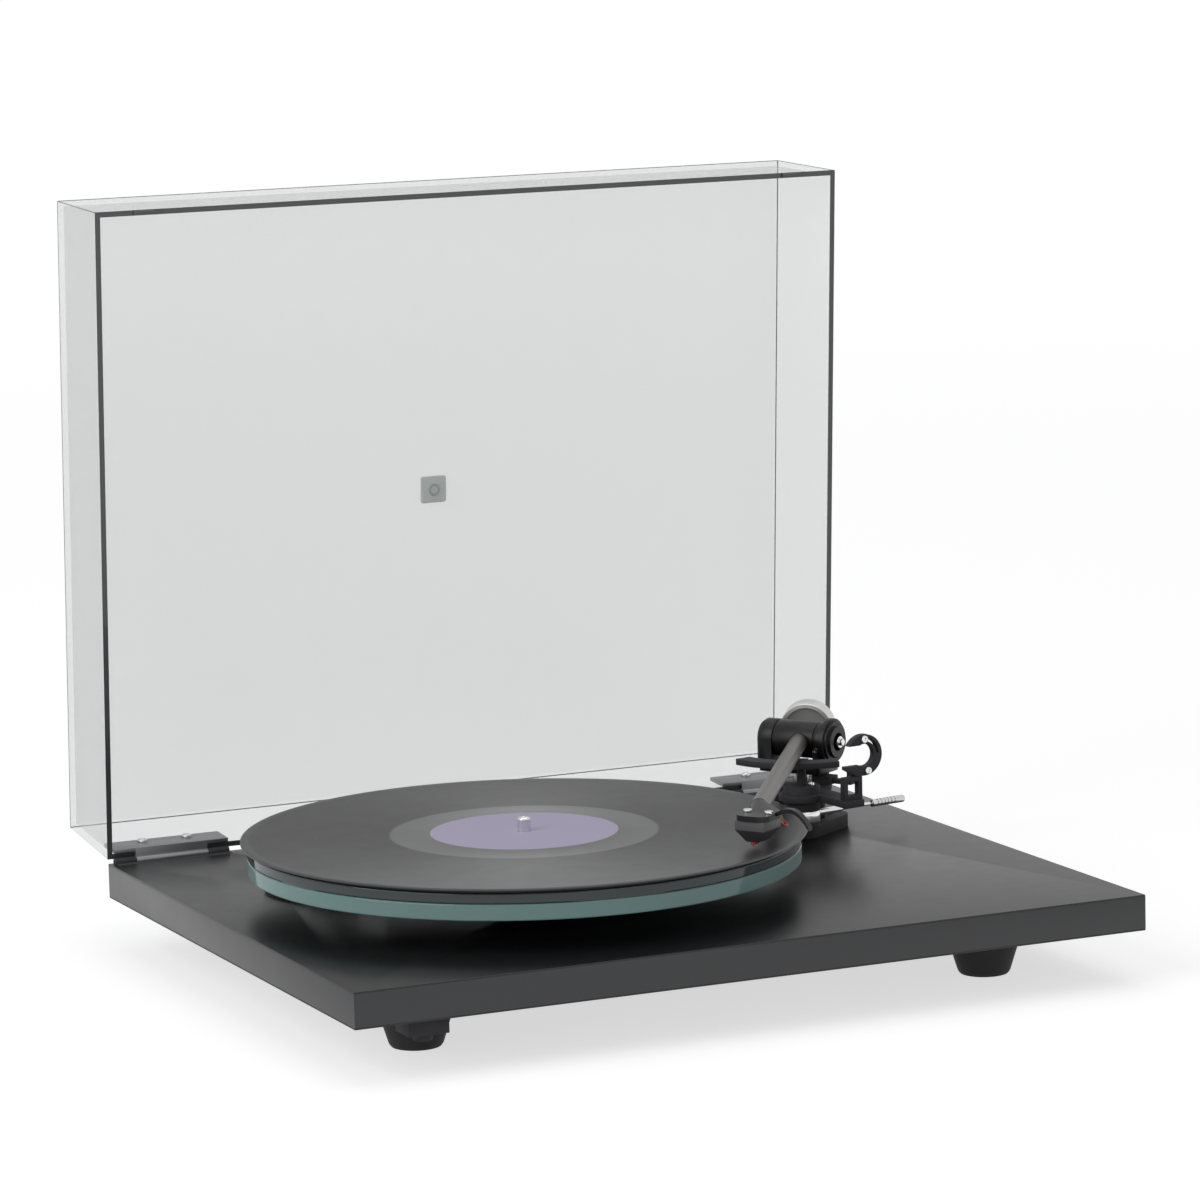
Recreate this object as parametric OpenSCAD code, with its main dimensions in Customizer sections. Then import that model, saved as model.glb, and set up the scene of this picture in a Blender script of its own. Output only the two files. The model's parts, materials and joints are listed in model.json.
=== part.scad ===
// Belt-drive turntable with a hinged clear lid, a two-layer glass platter and
// a pivoted tonearm. Every piece is drawn where it sits with the lid open and
// the stylus just above the outer grooves of the record.
//
// Working frame: X to the right and Y to the back from the front left corner
// of the plinth, Z up from its top face. place() moves that frame so that the
// origin is at the middle of the footprint, on the surface it stands on.

/* [Plinth] */
// Width of the plinth
plinth_w = 448; // [430:1:540]
// Depth of the plinth, front to back
plinth_d = 365; // [350:1:440]
// Thickness of the plinth with both skins
plinth_t = 19.2; // [16:0.1:26]
// Thickness of the laminate skin on each side
skin_t = 0.9; // [0.6:0.1:1.5]

/* [Feet] */
// Height of each foot
foot_h = 29; // [26:0.5:40]
// Radius of a foot where it meets the plinth
foot_top_r = 22.5; // [18:0.5:26]
// Radius of a foot where it meets the shelf
foot_bottom_r = 13.5; // [11:0.5:17]
// Distance of the front feet from the sides of the plinth
foot_side = 60; // [40:1:90]
// Distance of the front feet from the front of the plinth
foot_front = 68; // [40:1:90]
// Distance of the rear foot from the back of the plinth
foot_back = 60; // [40:1:90]

/* [Platter] */
// Distance of the spindle from the left side
spindle_x = 163; // [158:1:176]
// Distance of the spindle from the front
spindle_y = 161; // [156:1:176]
// Gap between the plinth and the lower glass
platter_gap = 19.3; // [18:0.1:23]
// Radius of both glass layers
glass_r = 147; // [140:1:150]
// Thickness of the lower glass ring
ring_t = 8.6; // [6:0.1:10.4]
// Inner radius of the lower glass ring
ring_inner_r = 104; // [98:1:120]
// Thickness of the upper glass disc
disc_t = 5.6; // [4:0.1:6.8]
// Thickness of the mat
mat_t = 1.2; // [0.8:0.1:2]
// Radius of the spindle above the record
spindle_r = 3.55; // [3.5:0.01:3.6]
// Height of the spindle above the record
spindle_up = 7.5; // [5:0.5:9]

/* [Record] */
// Radius of the record
record_r = 150.5; // [150:0.1:151]
// Thickness of the record
record_t = 1.8; // [1.4:0.1:2.2]
// Radius of the paper label
label_r = 50; // [48:0.5:50]
// Thickness of the paper label
label_t = 0.2; // [0.1:0.05:0.3]

/* [Drive] */
// Radius of the sub-platter where the belt runs
sub_r = 75; // [65:1:90]
// Radius of the pulley step in use
pulley_r = 10; // [8:0.5:12]
// Distance between the spindle and the motor shaft
motor_reach = 112; // [108:1:114]
// Direction of the motor from the spindle, in degrees
motor_bearing = 135; // [120:1:150]
// Radius of the motor can
motor_r = 26; // [22:0.5:28]
// Radius of the motor shaft
motor_shaft_r = 1; // [0.8:0.1:1.5]
// Radius of the platter shaft in its bearing
shaft_r = 5.5; // [4.5:0.1:7]
// Height of the drive belt
belt_h = 3; // [2:0.5:4]
// Thickness of the drive belt
belt_t = 0.9; // [0.6:0.1:1.2]

/* [Lid] */
// Thickness of the lid's acrylic
lid_wall = 3; // [2.5:0.1:4]
// Depth of the lid from its rim to its outer face
lid_depth = 69.5; // [69:0.5:90]
// Distance that the lid stops short of the front and of the back
lid_inset = 2.25; // [1.5:0.05:3]
// How far each side leans in from the rim to the outer face
lid_draft = 2; // [0:0.1:4]
// Gap between the closed lid and the plinth
lid_gap = 2.4; // [2:0.1:4]
// Angle between closed and open, in degrees
lid_open = 86.65; // [80:0.05:89]
// Side of the square boss in the middle of the lid
boss_w = 16; // [10:0.5:24]

/* [Hinges] */
// Length of each hinge along the back edge
hinge_len = 67; // [50:1:80]
// Gap between each hinge and the side wall of the lid
hinge_inset = 0.1; // [0.1:0.1:15]
// Radius of the hinge pin
hinge_pin_r = 1; // [0.8:0.1:1.2]
// Depth of the leaf plate inside the lid
leaf_depth = 15; // [12:0.5:30]
// Thickness of the leaf plate
leaf_t = 2; // [1.5:0.1:3]

/* [Tonearm] */
// Distance of the arm pivot from the left side
pivot_x = 372; // [368:1:376]
// Distance of the arm pivot from the front
pivot_y = 250; // [246:1:256]
// Height of the arm's bearing axis above the plinth
axis_h = 52; // [51.5:0.1:53]
// Distance from the pivot to the stylus
arm_reach = 228.2; // [226:0.1:232]
// Direction of the arm over the record, in degrees
arm_bearing = -122.95; // [-126:0.05:-118]
// Angle between the arm and the cartridge, in degrees
offset_angle = 23.5; // [20:0.5:25]
// Radius of the arm tube at the bearings
tube_r_back = 5.2; // [4.8:0.1:6]
// Radius of the arm tube at the headshell
tube_r_front = 4.8; // [4:0.1:5.2]
// Wall of the arm tube
tube_wall = 1; // [0.8:0.1:1.4]
// Height of the cartridge, stylus to headshell
cartridge_h = 13.6; // [12.5:0.1:15]
// Width of the cartridge
cartridge_w = 17.5; // [15:0.5:18]
// Clearance between the stylus and the record
stylus_gap = 0.3; // [0.2:0.1:1]
// Radius of the counterweight
weight_r = 15.3; // [13:0.1:15.5]
// Length of the counterweight
weight_len = 17; // [14:0.5:24]
// Distance of the counterweight's front face behind the pivot
weight_back = 26; // [24:0.5:32]
// Radius of the tracking force dial
dial_r = 13; // [10:0.5:13.5]
// Angle from the arm over the record to its rest, in degrees
park_angle = 39.5; // [36:0.5:40]

/* [Cue lift] */
// Distance of the lift from the arm pivot
lift_reach = 33.5; // [33:0.5:36]
// Direction of the lift from the arm pivot, in degrees
lift_bearing = -116.6; // [-125:0.1:-112]
// Radius of the lift body
lift_r = 10.2; // [8:0.1:10.5]
// Length of the cue lever from the middle of the lift
lever_len = 72; // [50:1:74]
// Direction of the cue lever, in degrees
lever_bearing = 11; // [5:1:20]

/* [Hidden] */
$fn = 96;

RUN = 0.05;      // radial clearance of a running fit
FREE = 0.3;      // gap between pieces that pass each other
EPS = 0.01;      // overshoot of a cut through a face

core_t = plinth_t - 2 * skin_t;
foot_screw_r = 2;
foot_cup_r = 6;
foot_cup_h = 20;
lid_rear = plinth_d - lid_inset;
lid_len = plinth_d - 2 * lid_inset;

// Heights of the platter stack above the plinth
ring_top = platter_gap + ring_t;
disc_top = ring_top + disc_t;
mat_top = disc_top + mat_t;
record_top = mat_top + record_t;

// Hinge axis, at the top edge of the plinth's back
hinge_y = plinth_d - 0.7;
hinge_z = 0.4;
knuckle_r = hinge_pin_r + 1.4;
knuckle_end = 12;
knuckle_gap = 0.4;
hinge_block_depth = 8.5;
hinge_block_h = 6.5;
hinge_screw_places = [6, hinge_len - 6];
hinge_screw_z = -4.2;
hinge_screw_r = 1.2;
leaf_screw_places = [hinge_len / 2 - 13, hinge_len / 2 + 13];
leaf_screw_h = 0.63 * leaf_depth;
leaf_screw_r = 1.6;
leaf_face = lid_rear - lid_wall - leaf_t - lid_draft * leaf_depth / lid_depth - RUN;
boss_h = 3.4;
boss_dimple_r = 2.6;
bumper_h = 1.9;

// Furthest point to the back, the lower outer edge of the open lid
lid_back = hinge_y + cos(lid_open) * (lid_rear - lid_draft - hinge_y)
    + sin(lid_open) * (lid_gap + lid_depth - hinge_z);

// Drive
motor_x = spindle_x + motor_reach * cos(motor_bearing);
motor_y = spindle_y + motor_reach * sin(motor_bearing);
belt_z = 8;
sub_z = 5;
sub_rim_h = 8;
sub_top_r = ring_inner_r - 8;
sub_top_t = 4;
hub_r = 20;
spindle_seat_r = spindle_r + 0.5;
spindle_neck_t = 0.6;
motor_hole_r = motor_r + 1.5;
motor_plate_r = motor_r + 10;
motor_plate_t = 2;
motor_screw_r = motor_r + 6;
motor_can_h = 24;
pulley_z = 6.5;
pulley_step_z = 12.5;
pulley_top = 17;
pulley_wide_r = pulley_r * 1.35;

// Main bearing
bearing_r = shaft_r + 3.5;
bearing_flange_r = bearing_r + 7;
bearing_flange_t = 2.5;
bearing_depth = 36;
ball_r = 2.5;
bearing_floor = 2.5;
shaft_bottom = -bearing_depth + bearing_floor + 2 * ball_r + RUN;

// Tonearm
yoke_bearing = arm_bearing - offset_angle;
stylus_z = record_top + stylus_gap;
shell_z = stylus_z + cartridge_h;
shell_t = 3;
arm_base_t = 7.5;
lobe_reach = 18;
lobe_r = 10;
arm_base_turn = 3;
pillar_r = 17;
pillar_neck_r = 13;
pillar_neck_z = 22;
pillar_top = 28;
tail_r = 10;
tail_len = 27;
arm_spindle_r = 4;
nut_t = 5;
yoke_z = 34;
yoke_base_t = 4.5;
yoke_arm_r = 10.5;
yoke_left = [-21, -13.2];
yoke_right = [13.2, 17.6];
axle_r = 2;
hub_half = 12.7;
arm_hub_r = 10.3;
tube_start = 4;
tube_end = arm_reach - 29;
stub_r = 4;
stub_len = 62;
dial_y = yoke_right[1] + 0.5;
dial_t = 6;
dial_cup_r = 5;
shell_half_w = 9.6;
shell_front = 4.5;
shell_back = -14;
shell_cut = 10;
shell_screw_x = -6;
shell_screw_y = [-6.35, 6.35];
shell_screw_r = 1.2;
holder_top = 2.3;
pin_end = -18.5;
lead_r = 0.55;
lead_places = [-5.4, -1.8, 1.8, 5.4];
tube_rise = atan((shell_z + shell_t / 2 - axis_h) / tube_end);

// Arm rest
rest_reach = 62;
rest_bearing = arm_bearing + park_angle;
bracket_z = 23.6;
bracket_t = 4;
claw_out_r = 11.5;
claw_in_r = tube_r_back + 1.1;
claw_t = 4;
claw_gap = tube_r_back + 0.4;
claw_lip = 12.5;
post_y = [-13.8, -1.6];
post_rail = 2.8;
claw_screw_r = 9;
claw_screw_angles = [92, -78];

// Cue lift
lift_x = pivot_x + lift_reach * cos(lift_bearing);
lift_y = pivot_y + lift_reach * sin(lift_bearing);
lift_z = 8.5;
lift_top = 32;
collar_z = [12.2, 18.2];
core_r = 6;
lever_z = 15.2;
lever_thick_r = 1.9;
lever_thin_r = 1.05;
lever_grip_r = 2.1;
lever_thick_end = 27;
lever_grip_start = 49;
lift_arc = [36, 46];
platform_t = 3.5;
platform_z = axis_h - tube_r_back - FREE - platform_t;
platform_sweep = [-46, 34];
lift_pin_r = 2.5;
lift_pin_z = 15;
lift_screw_turn = -60;
lift_screw_reach = 6.4;

// Bias slider
bias_z = 28.6;
bias_h = 2.4;
bias_w = 5;
bias_reach = 33;
bias_post_h = 8;

// Switch under the front left of the plinth
switch_at = [44, 20];
switch_h = 10;
button_r = 5;
button_drop = 4;

// Power socket and signal lead gland at the back of the underside
socket_x = 70;
socket_bore_r = 3.2;
socket_bore_depth = 10;
gland_x = plinth_w - 74;
gland_bore_r = 3;
gland_bore_depth = 14;
back_inset = 2;
back_drop = 6;

foot_places = [
    [foot_side, foot_front],
    [plinth_w - foot_side, foot_front],
    [plinth_w / 2, plinth_d - foot_back]];
hinge_start = lid_wall + lid_draft * leaf_depth / lid_depth + hinge_inset;
hinge_places = [hinge_start, plinth_w - hinge_start - hinge_len];

// ---- frames ----------------------------------------------------------------

module place() {
    translate([-plinth_w / 2, -lid_back / 2, foot_h + plinth_t]) children();
}

// Pivot of the arm, with X along the arm
module at_arm() {
    place() translate([pivot_x, pivot_y, 0]) rotate([0, 0, arm_bearing]) children();
}

// Pivot of the arm, with Y along the bearing axis towards the dial
module at_yoke() {
    place() translate([pivot_x, pivot_y, 0]) rotate([0, 0, yoke_bearing]) children();
}

// Stylus, with X forwards along the cartridge and Y to its right
module at_stylus() {
    at_arm() translate([arm_reach, 0, 0]) rotate([0, 0, -offset_angle]) children();
}

// Middle of the parked arm tube in its rest, X along the parked tube
module at_rest() {
    place() translate([pivot_x, pivot_y, 0]) rotate([0, 0, rest_bearing])
        translate([rest_reach, 0, 0]) children();
}

module at_lift() {
    place() translate([lift_x, lift_y, 0]) children();
}

// The lid's pieces are drawn closed and turned open here
module at_lid() {
    place() translate([0, hinge_y, hinge_z]) rotate([-lid_open, 0, 0])
        translate([0, -hinge_y, -hinge_z]) children();
}

// ---- shared shapes ---------------------------------------------------------

// Cylinder along X
module rod_x(r, x0, x1) {
    translate([x0, 0, 0]) rotate([0, 90, 0]) cylinder(r = r, h = x1 - x0);
}

// Cylinder along Y
module rod_y(r, y0, y1) {
    translate([0, y0, 0]) rotate([-90, 0, 0]) cylinder(r = r, h = y1 - y0);
}

// Ring in the XY plane
module ring(outer, inner, h) {
    difference() {
        cylinder(r = outer, h = h);
        translate([0, 0, -EPS]) cylinder(r = inner, h = h + 2 * EPS);
    }
}

// Screw pointing down: its head stands on z = 0
module screw(head_r, head_h, shank_r, shank_len) {
    difference() {
        cylinder(r = head_r, h = head_h);
        translate([0, 0, head_h / 2]) cylinder(r = head_r * 0.45, h = head_h, $fn = 6);
    }
    translate([0, 0, -shank_len]) cylinder(r = shank_r, h = shank_len + EPS);
}

// Wedge of a circle between two directions
module wedge(r, from, to) {
    steps = ceil((to - from) / 15);
    polygon(concat([[0, 0]], [for (i = [0:steps])
        let (a = from + (to - from) * i / steps) r * [cos(a), sin(a)]]));
}

// Rectangle with round corners, from circles and bars
module round_rect(x0, x1, y0, y1, r) {
    translate([x0 + r, y0]) square([x1 - x0 - 2 * r, y1 - y0]);
    translate([x0, y0 + r]) square([x1 - x0, y1 - y0 - 2 * r]);
    for (x = [x0 + r, x1 - r], y = [y0 + r, y1 - r]) translate([x, y]) circle(r = r);
}

// Point on a smooth curve through control points (t from 0 to the last one)
function spline(p, t) =
    let (n = len(p) - 1, i = min(floor(t), n - 1), u = t - i,
        a = p[max(i - 1, 0)], b = p[i], c = p[i + 1], d = p[min(i + 2, n)])
    0.5 * (2 * b + (c - a) * u + (2 * a - 5 * b + 4 * c - d) * u * u
        + (3 * b - a - 3 * c + d) * u * u * u);
function unit(v) = v / norm(v);

// Round tube swept along a smooth curve
module swept(points, r, sides, rings) {
    last = len(points) - 1;
    path = [for (k = [0:rings]) spline(points, last * k / rings)];
    centre = function (k) path[max(0, min(rings, k))];
    hoops = [for (k = [0:rings]) let (
        t = unit(centre(k + 1) - centre(k - 1)),
        n = unit(cross(t, [0.3, 1, 0.2])),
        b = cross(t, n))
        for (s = [0:sides - 1])
            path[k] + r * (cos(360 * s / sides) * n + sin(360 * s / sides) * b)];
    polyhedron(hoops, concat(
        [[for (s = [0:sides - 1]) s]],
        [for (k = [0:rings - 1], s = [0:sides - 1]) let (s2 = (s + 1) % sides)
            [k * sides + s2, k * sides + s, (k + 1) * sides + s, (k + 1) * sides + s2]],
        [[for (s = [sides - 1:-1:0]) rings * sides + s]]));
}

// ---- plinth ----------------------------------------------------------------

// Everything that passes through the plinth
module plinth_cuts() {
    translate([spindle_x, spindle_y, -plinth_t - 1]) cylinder(r = bearing_r + RUN, h = plinth_t + 2);
    translate([motor_x, motor_y, -plinth_t - 1]) cylinder(r = motor_hole_r, h = plinth_t + 2);
    translate([pivot_x, pivot_y, -plinth_t - 1]) cylinder(r = tail_r + RUN, h = plinth_t + 2);
    for (x = hinge_places)
        translate([x - RUN, plinth_d - hinge_block_depth, -hinge_block_h])
            cube([hinge_len + 2 * RUN, hinge_block_depth + 1, hinge_block_h + 1]);
}

module plinth_core() {
    color([0.09, 0.09, 0.10]) place() difference() {
        translate([0, 0, skin_t - plinth_t]) cube([plinth_w, plinth_d, core_t]);
        plinth_cuts();
    }
}

module deck_skin() {
    color([0.16, 0.16, 0.17]) place() difference() {
        translate([0, 0, -skin_t]) cube([plinth_w, plinth_d, skin_t]);
        plinth_cuts();
    }
}

module base_skin() {
    color([0.07, 0.07, 0.08]) place() difference() {
        translate([0, 0, -plinth_t]) cube([plinth_w, plinth_d, skin_t]);
        plinth_cuts();
        for (p = foot_places)
            translate([p[0], p[1], -plinth_t - 1]) cylinder(r = foot_screw_r, h = skin_t + 2);
    }
}

// ---- feet ------------------------------------------------------------------

module feet() {
    color([0.06, 0.06, 0.06]) place() for (p = foot_places)
        translate([p[0], p[1], -plinth_t - foot_h]) difference() {
            cylinder(r1 = foot_bottom_r, r2 = foot_top_r, h = foot_h);
            translate([0, 0, -1]) cylinder(r = foot_cup_r, h = foot_cup_h + 1);
            cylinder(r = foot_screw_r + RUN, h = foot_h + 1);
        }
}

module foot_screws() {
    color("silver") place() for (p = foot_places)
        translate([p[0], p[1], -plinth_t - foot_h + foot_cup_h]) rotate([180, 0, 0])
            screw(4, 2.5, foot_screw_r, foot_h - foot_cup_h + skin_t);
}

// ---- main bearing, motor and drive -----------------------------------------

module bearing_housing() {
    color([0.7, 0.6, 0.35]) place() translate([spindle_x, spindle_y, 0]) difference() {
        union() {
            translate([0, 0, -bearing_depth]) cylinder(r = bearing_r, h = bearing_depth);
            cylinder(r = bearing_flange_r, h = bearing_flange_t);
        }
        translate([0, 0, bearing_floor - bearing_depth])
            cylinder(r = shaft_r + RUN, h = bearing_depth + bearing_flange_t);
    }
}

module bearing_ball() {
    color("silver") place()
        translate([spindle_x, spindle_y, bearing_floor - bearing_depth + ball_r]) sphere(r = ball_r);
}

module motor_can() {
    color([0.55, 0.56, 0.58]) place() translate([motor_x, motor_y, -motor_can_h]) difference() {
        cylinder(r = motor_r, h = motor_can_h);
        translate([0, 0, 3]) cylinder(r = motor_shaft_r + RUN, h = motor_can_h);
    }
}

module motor_plate() {
    color([0.13, 0.13, 0.14]) place() translate([motor_x, motor_y, 0]) difference() {
        cylinder(r = motor_plate_r, h = motor_plate_t);
        translate([0, 0, -EPS]) cylinder(r = motor_shaft_r + 1, h = motor_plate_t + 1);
        for (a = [30:120:270]) rotate([0, 0, a])
            translate([motor_screw_r, 0, -1]) cylinder(r = 1.25, h = motor_plate_t + 2);
    }
}

module motor_screws() {
    color("silver") place() translate([motor_x, motor_y, motor_plate_t]) for (a = [30:120:270])
        rotate([0, 0, a]) translate([motor_screw_r, 0, 0]) screw(2.4, 1.4, 1.25, motor_plate_t);
}

module motor_shaft() {
    color("silver") place() translate([motor_x, motor_y, 4 - motor_can_h])
        cylinder(r = motor_shaft_r, h = motor_can_h - 4 + pulley_top);
}

// Two steps, with a small flange under each belt track
module pulley() {
    color([0.78, 0.78, 0.8]) place() translate([motor_x, motor_y, 0]) difference() {
        union() {
            translate([0, 0, pulley_z]) cylinder(r = pulley_r + 1, h = 1);
            translate([0, 0, pulley_z]) cylinder(r = pulley_r, h = pulley_step_z - pulley_z);
            translate([0, 0, pulley_step_z]) cylinder(r = pulley_wide_r, h = pulley_top - pulley_step_z);
        }
        translate([0, 0, pulley_z - 1]) cylinder(r = motor_shaft_r, h = pulley_top);
    }
}

module belt_outline(grow) {
    hull() {
        translate([spindle_x, spindle_y]) circle(r = sub_r + grow);
        translate([motor_x, motor_y]) circle(r = pulley_r + grow);
    }
}

module drive_belt() {
    color([0.1, 0.1, 0.1]) place() translate([0, 0, belt_z]) linear_extrude(belt_h) difference() {
        belt_outline(FREE + belt_t);
        belt_outline(FREE);
    }
}

// ---- platter ---------------------------------------------------------------

module sub_platter() {
    color([0.12, 0.12, 0.13]) place() translate([spindle_x, spindle_y, 0]) difference() {
        union() {
            translate([0, 0, sub_z]) cylinder(r = sub_r, h = sub_rim_h);
            translate([0, 0, sub_z]) cylinder(r = hub_r, h = ring_top - sub_z);
            translate([0, 0, ring_top - sub_top_t]) cylinder(r = sub_top_r, h = sub_top_t);
        }
        translate([0, 0, sub_z - 1]) cylinder(r = shaft_r, h = ring_top);
    }
}

module spindle() {
    color("silver") place() translate([spindle_x, spindle_y, 0]) {
        translate([0, 0, shaft_bottom]) cylinder(r = shaft_r, h = ring_top - shaft_bottom);
        translate([0, 0, ring_top]) cylinder(r = spindle_seat_r, h = mat_top - ring_top);
        translate([0, 0, mat_top]) cylinder(r = spindle_r, h = record_t - spindle_neck_t);
        translate([0, 0, record_top - spindle_neck_t]) cylinder(r = spindle_r - 0.3, h = spindle_neck_t);
        translate([0, 0, record_top]) cylinder(r = spindle_r, h = spindle_up - 1);
        translate([0, 0, record_top + spindle_up - 1])
            cylinder(r1 = spindle_r, r2 = spindle_r - 1, h = 1);
    }
}

module platter_ring() {
    color([0.35, 0.55, 0.53, 0.8]) place() translate([spindle_x, spindle_y, platter_gap])
        ring(glass_r, ring_inner_r, ring_t);
}

module platter_disc() {
    color([0.1, 0.13, 0.13, 0.9]) place() translate([spindle_x, spindle_y, ring_top])
        ring(glass_r, spindle_seat_r + RUN, disc_t);
}

module platter_mat() {
    color([0.1, 0.1, 0.1]) place() translate([spindle_x, spindle_y, disc_top])
        ring(glass_r - 1, spindle_seat_r + RUN, mat_t);
}

module record() {
    color([0.07, 0.07, 0.08]) place() translate([spindle_x, spindle_y, mat_top]) difference() {
        cylinder(r = record_r, h = record_t);
        translate([0, 0, -1]) cylinder(r = spindle_r + RUN, h = record_t + 2);
        translate([0, 0, record_t - label_t]) cylinder(r = label_r, h = record_t);
    }
}

module record_label() {
    color([0.62, 0.58, 0.72]) place() translate([spindle_x, spindle_y, record_top - label_t])
        ring(label_r, spindle_r + RUN, label_t);
}

// ---- switch, socket and gland under the plinth -----------------------------

module switch_body() {
    color([0.08, 0.08, 0.08]) place()
        translate([switch_at[0], switch_at[1], -plinth_t - switch_h]) difference() {
            translate([-11, -9, 0]) cube([22, 18, switch_h]);
            translate([0, 0, -EPS]) cylinder(r = button_r + RUN, h = switch_h - 2);
        }
}

module power_button() {
    color([0.2, 0.2, 0.2]) place()
        translate([switch_at[0], switch_at[1], -plinth_t - switch_h - button_drop])
            cylinder(r = button_r, h = button_drop + 5);
}

module power_socket() {
    color([0.06, 0.06, 0.06]) place()
        translate([socket_x, plinth_d - back_inset, -plinth_t - back_drop]) difference() {
            translate([-7, -14, -5]) cube([14, 14, 5 + back_drop]);
            rod_y(socket_bore_r, -socket_bore_depth, EPS);
        }
}

module signal_gland() {
    color([0.08, 0.08, 0.08]) place()
        translate([gland_x, plinth_d - back_inset, -plinth_t - back_drop]) difference() {
            translate([-8, -gland_bore_depth, -5]) cube([16, gland_bore_depth, 5 + back_drop]);
            rod_y(gland_bore_r, -gland_bore_depth - EPS, EPS);
        }
}

// ---- hinges ----------------------------------------------------------------

// One fixed half: a block let into the plinth, with a knuckle at each end
module hinge_base(x) {
    translate([x, 0, 0]) difference() {
        union() {
            translate([0, plinth_d - hinge_block_depth, -hinge_block_h])
                cube([hinge_len, hinge_block_depth, hinge_block_h]);
            for (x0 = [0, hinge_len - knuckle_end])
                translate([0, hinge_y, hinge_z]) rod_x(knuckle_r, x0, x0 + knuckle_end);
        }
        translate([knuckle_end, plinth_d - knuckle_r - FREE - 0.7, hinge_z - knuckle_r - FREE])
            cube([hinge_len - 2 * knuckle_end, 2 * knuckle_r + 5, hinge_block_h]);
        translate([0, hinge_y, hinge_z]) rod_x(hinge_pin_r, -1, hinge_len + 1);
        for (s = hinge_screw_places)
            translate([s, plinth_d - hinge_block_depth - 1, hinge_screw_z])
                rod_y(hinge_screw_r, 0, hinge_block_depth + 2);
    }
}

module hinge_bases() {
    color([0.07, 0.07, 0.08]) place() for (x = hinge_places) hinge_base(x);
}

module hinge_pins() {
    color("silver") place() for (x = hinge_places)
        translate([x, hinge_y, hinge_z]) rod_x(hinge_pin_r, 0.5, hinge_len - 0.5);
}

module hinge_base_screws() {
    color("silver") place() for (x = hinge_places, s = hinge_screw_places)
        translate([x + s, plinth_d, hinge_screw_z]) rotate([-90, 0, 0])
            screw(2, 1.2, hinge_screw_r, hinge_block_depth);
}

// Moving half: a knuckle, a strip under the rim and a plate inside the lid
module hinge_leaf(x) {
    x0 = x + knuckle_end + knuckle_gap;
    x1 = x + hinge_len - knuckle_end - knuckle_gap;
    difference() {
        union() {
            translate([0, hinge_y, hinge_z]) rod_x(knuckle_r, x0, x1);
            translate([x0, leaf_face, hinge_z]) cube([x1 - x0, hinge_y - leaf_face, lid_gap - hinge_z - RUN]);
            translate([x, leaf_face, 0.5]) cube([hinge_len, leaf_t, leaf_depth + lid_gap - 0.5]);
        }
        translate([0, hinge_y, hinge_z]) rod_x(hinge_pin_r + RUN, x - 1, x + hinge_len + 1);
        for (s = leaf_screw_places)
            translate([x + s, leaf_face - 1, lid_gap + leaf_screw_h]) rod_y(leaf_screw_r, 0, leaf_t + 2);
    }
}

module hinge_leaves() {
    color([0.62, 0.63, 0.64]) at_lid() for (x = hinge_places) hinge_leaf(x);
}

module leaf_screws() {
    color("silver") at_lid() for (x = hinge_places, s = leaf_screw_places)
        translate([x + s, leaf_face, lid_gap + leaf_screw_h]) rotate([90, 0, 0])
            screw(2.8, 1.5, leaf_screw_r, leaf_t + lid_wall);
}

// ---- lid -------------------------------------------------------------------

// Tapered block, wider at the rim
module lid_block(wall, z0, z1) {
    lean = lid_draft / lid_depth;
    hull() for (z = [z0, z1]) {
        inset = wall + lean * (z - lid_gap);
        translate([inset, lid_rear - lid_len + inset, z])
            cube([plinth_w - 2 * inset, lid_len - 2 * inset, EPS]);
    }
}

module lid_shell() {
    color([0.75, 0.78, 0.78, 0.35]) at_lid() difference() {
        lid_block(0, lid_gap, lid_gap + lid_depth - EPS);
        lid_block(lid_wall, lid_gap - 1, lid_gap + lid_depth - lid_wall - EPS);
        for (x = hinge_places, s = leaf_screw_places)
            translate([x + s, lid_rear - lid_wall - 3, lid_gap + leaf_screw_h])
                rod_y(leaf_screw_r, 0, lid_wall + 6);
    }
}

module lid_boss() {
    color([0.6, 0.66, 0.62, 0.6]) at_lid()
        translate([plinth_w / 2, lid_rear - lid_len / 2, lid_gap + lid_depth - lid_wall - boss_h])
            difference() {
                linear_extrude(boss_h)
                    round_rect(-boss_w / 2, boss_w / 2, -boss_w / 2, boss_w / 2, 2);
                translate([0, 0, -EPS]) cylinder(r = boss_dimple_r, h = 1.6);
            }
}

module lid_bumpers() {
    color([0.8, 0.82, 0.82, 0.5]) at_lid() for (x = [22, plinth_w - 34])
        translate([x, lid_rear - lid_len + 0.3, lid_gap - bumper_h])
            cube([12, lid_wall - 0.6, bumper_h]);
}

// ---- fixed pieces of the tonearm -------------------------------------------

module lobes(r, h, sides) {
    for (a = [0:120:240]) rotate([0, 0, a + arm_base_turn])
        translate([lobe_reach, 0, 0]) cylinder(r = r, h = h, $fn = sides);
}

module arm_base() {
    color([0.10, 0.10, 0.11]) place() translate([pivot_x, pivot_y, 0]) difference() {
        hull() lobes(lobe_r, arm_base_t, 32);
        translate([0, 0, -1]) cylinder(r = tail_r, h = arm_base_t + 2);
        translate([0, 0, -1]) lobes(1.7, arm_base_t + 2, 96);
    }
}

module arm_base_screws() {
    color("silver") place() translate([pivot_x, pivot_y, arm_base_t]) for (a = [0:120:240])
        rotate([0, 0, a + arm_base_turn]) translate([lobe_reach, 0, 0]) screw(2.6, 1.2, 1.7, arm_base_t);
}

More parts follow.
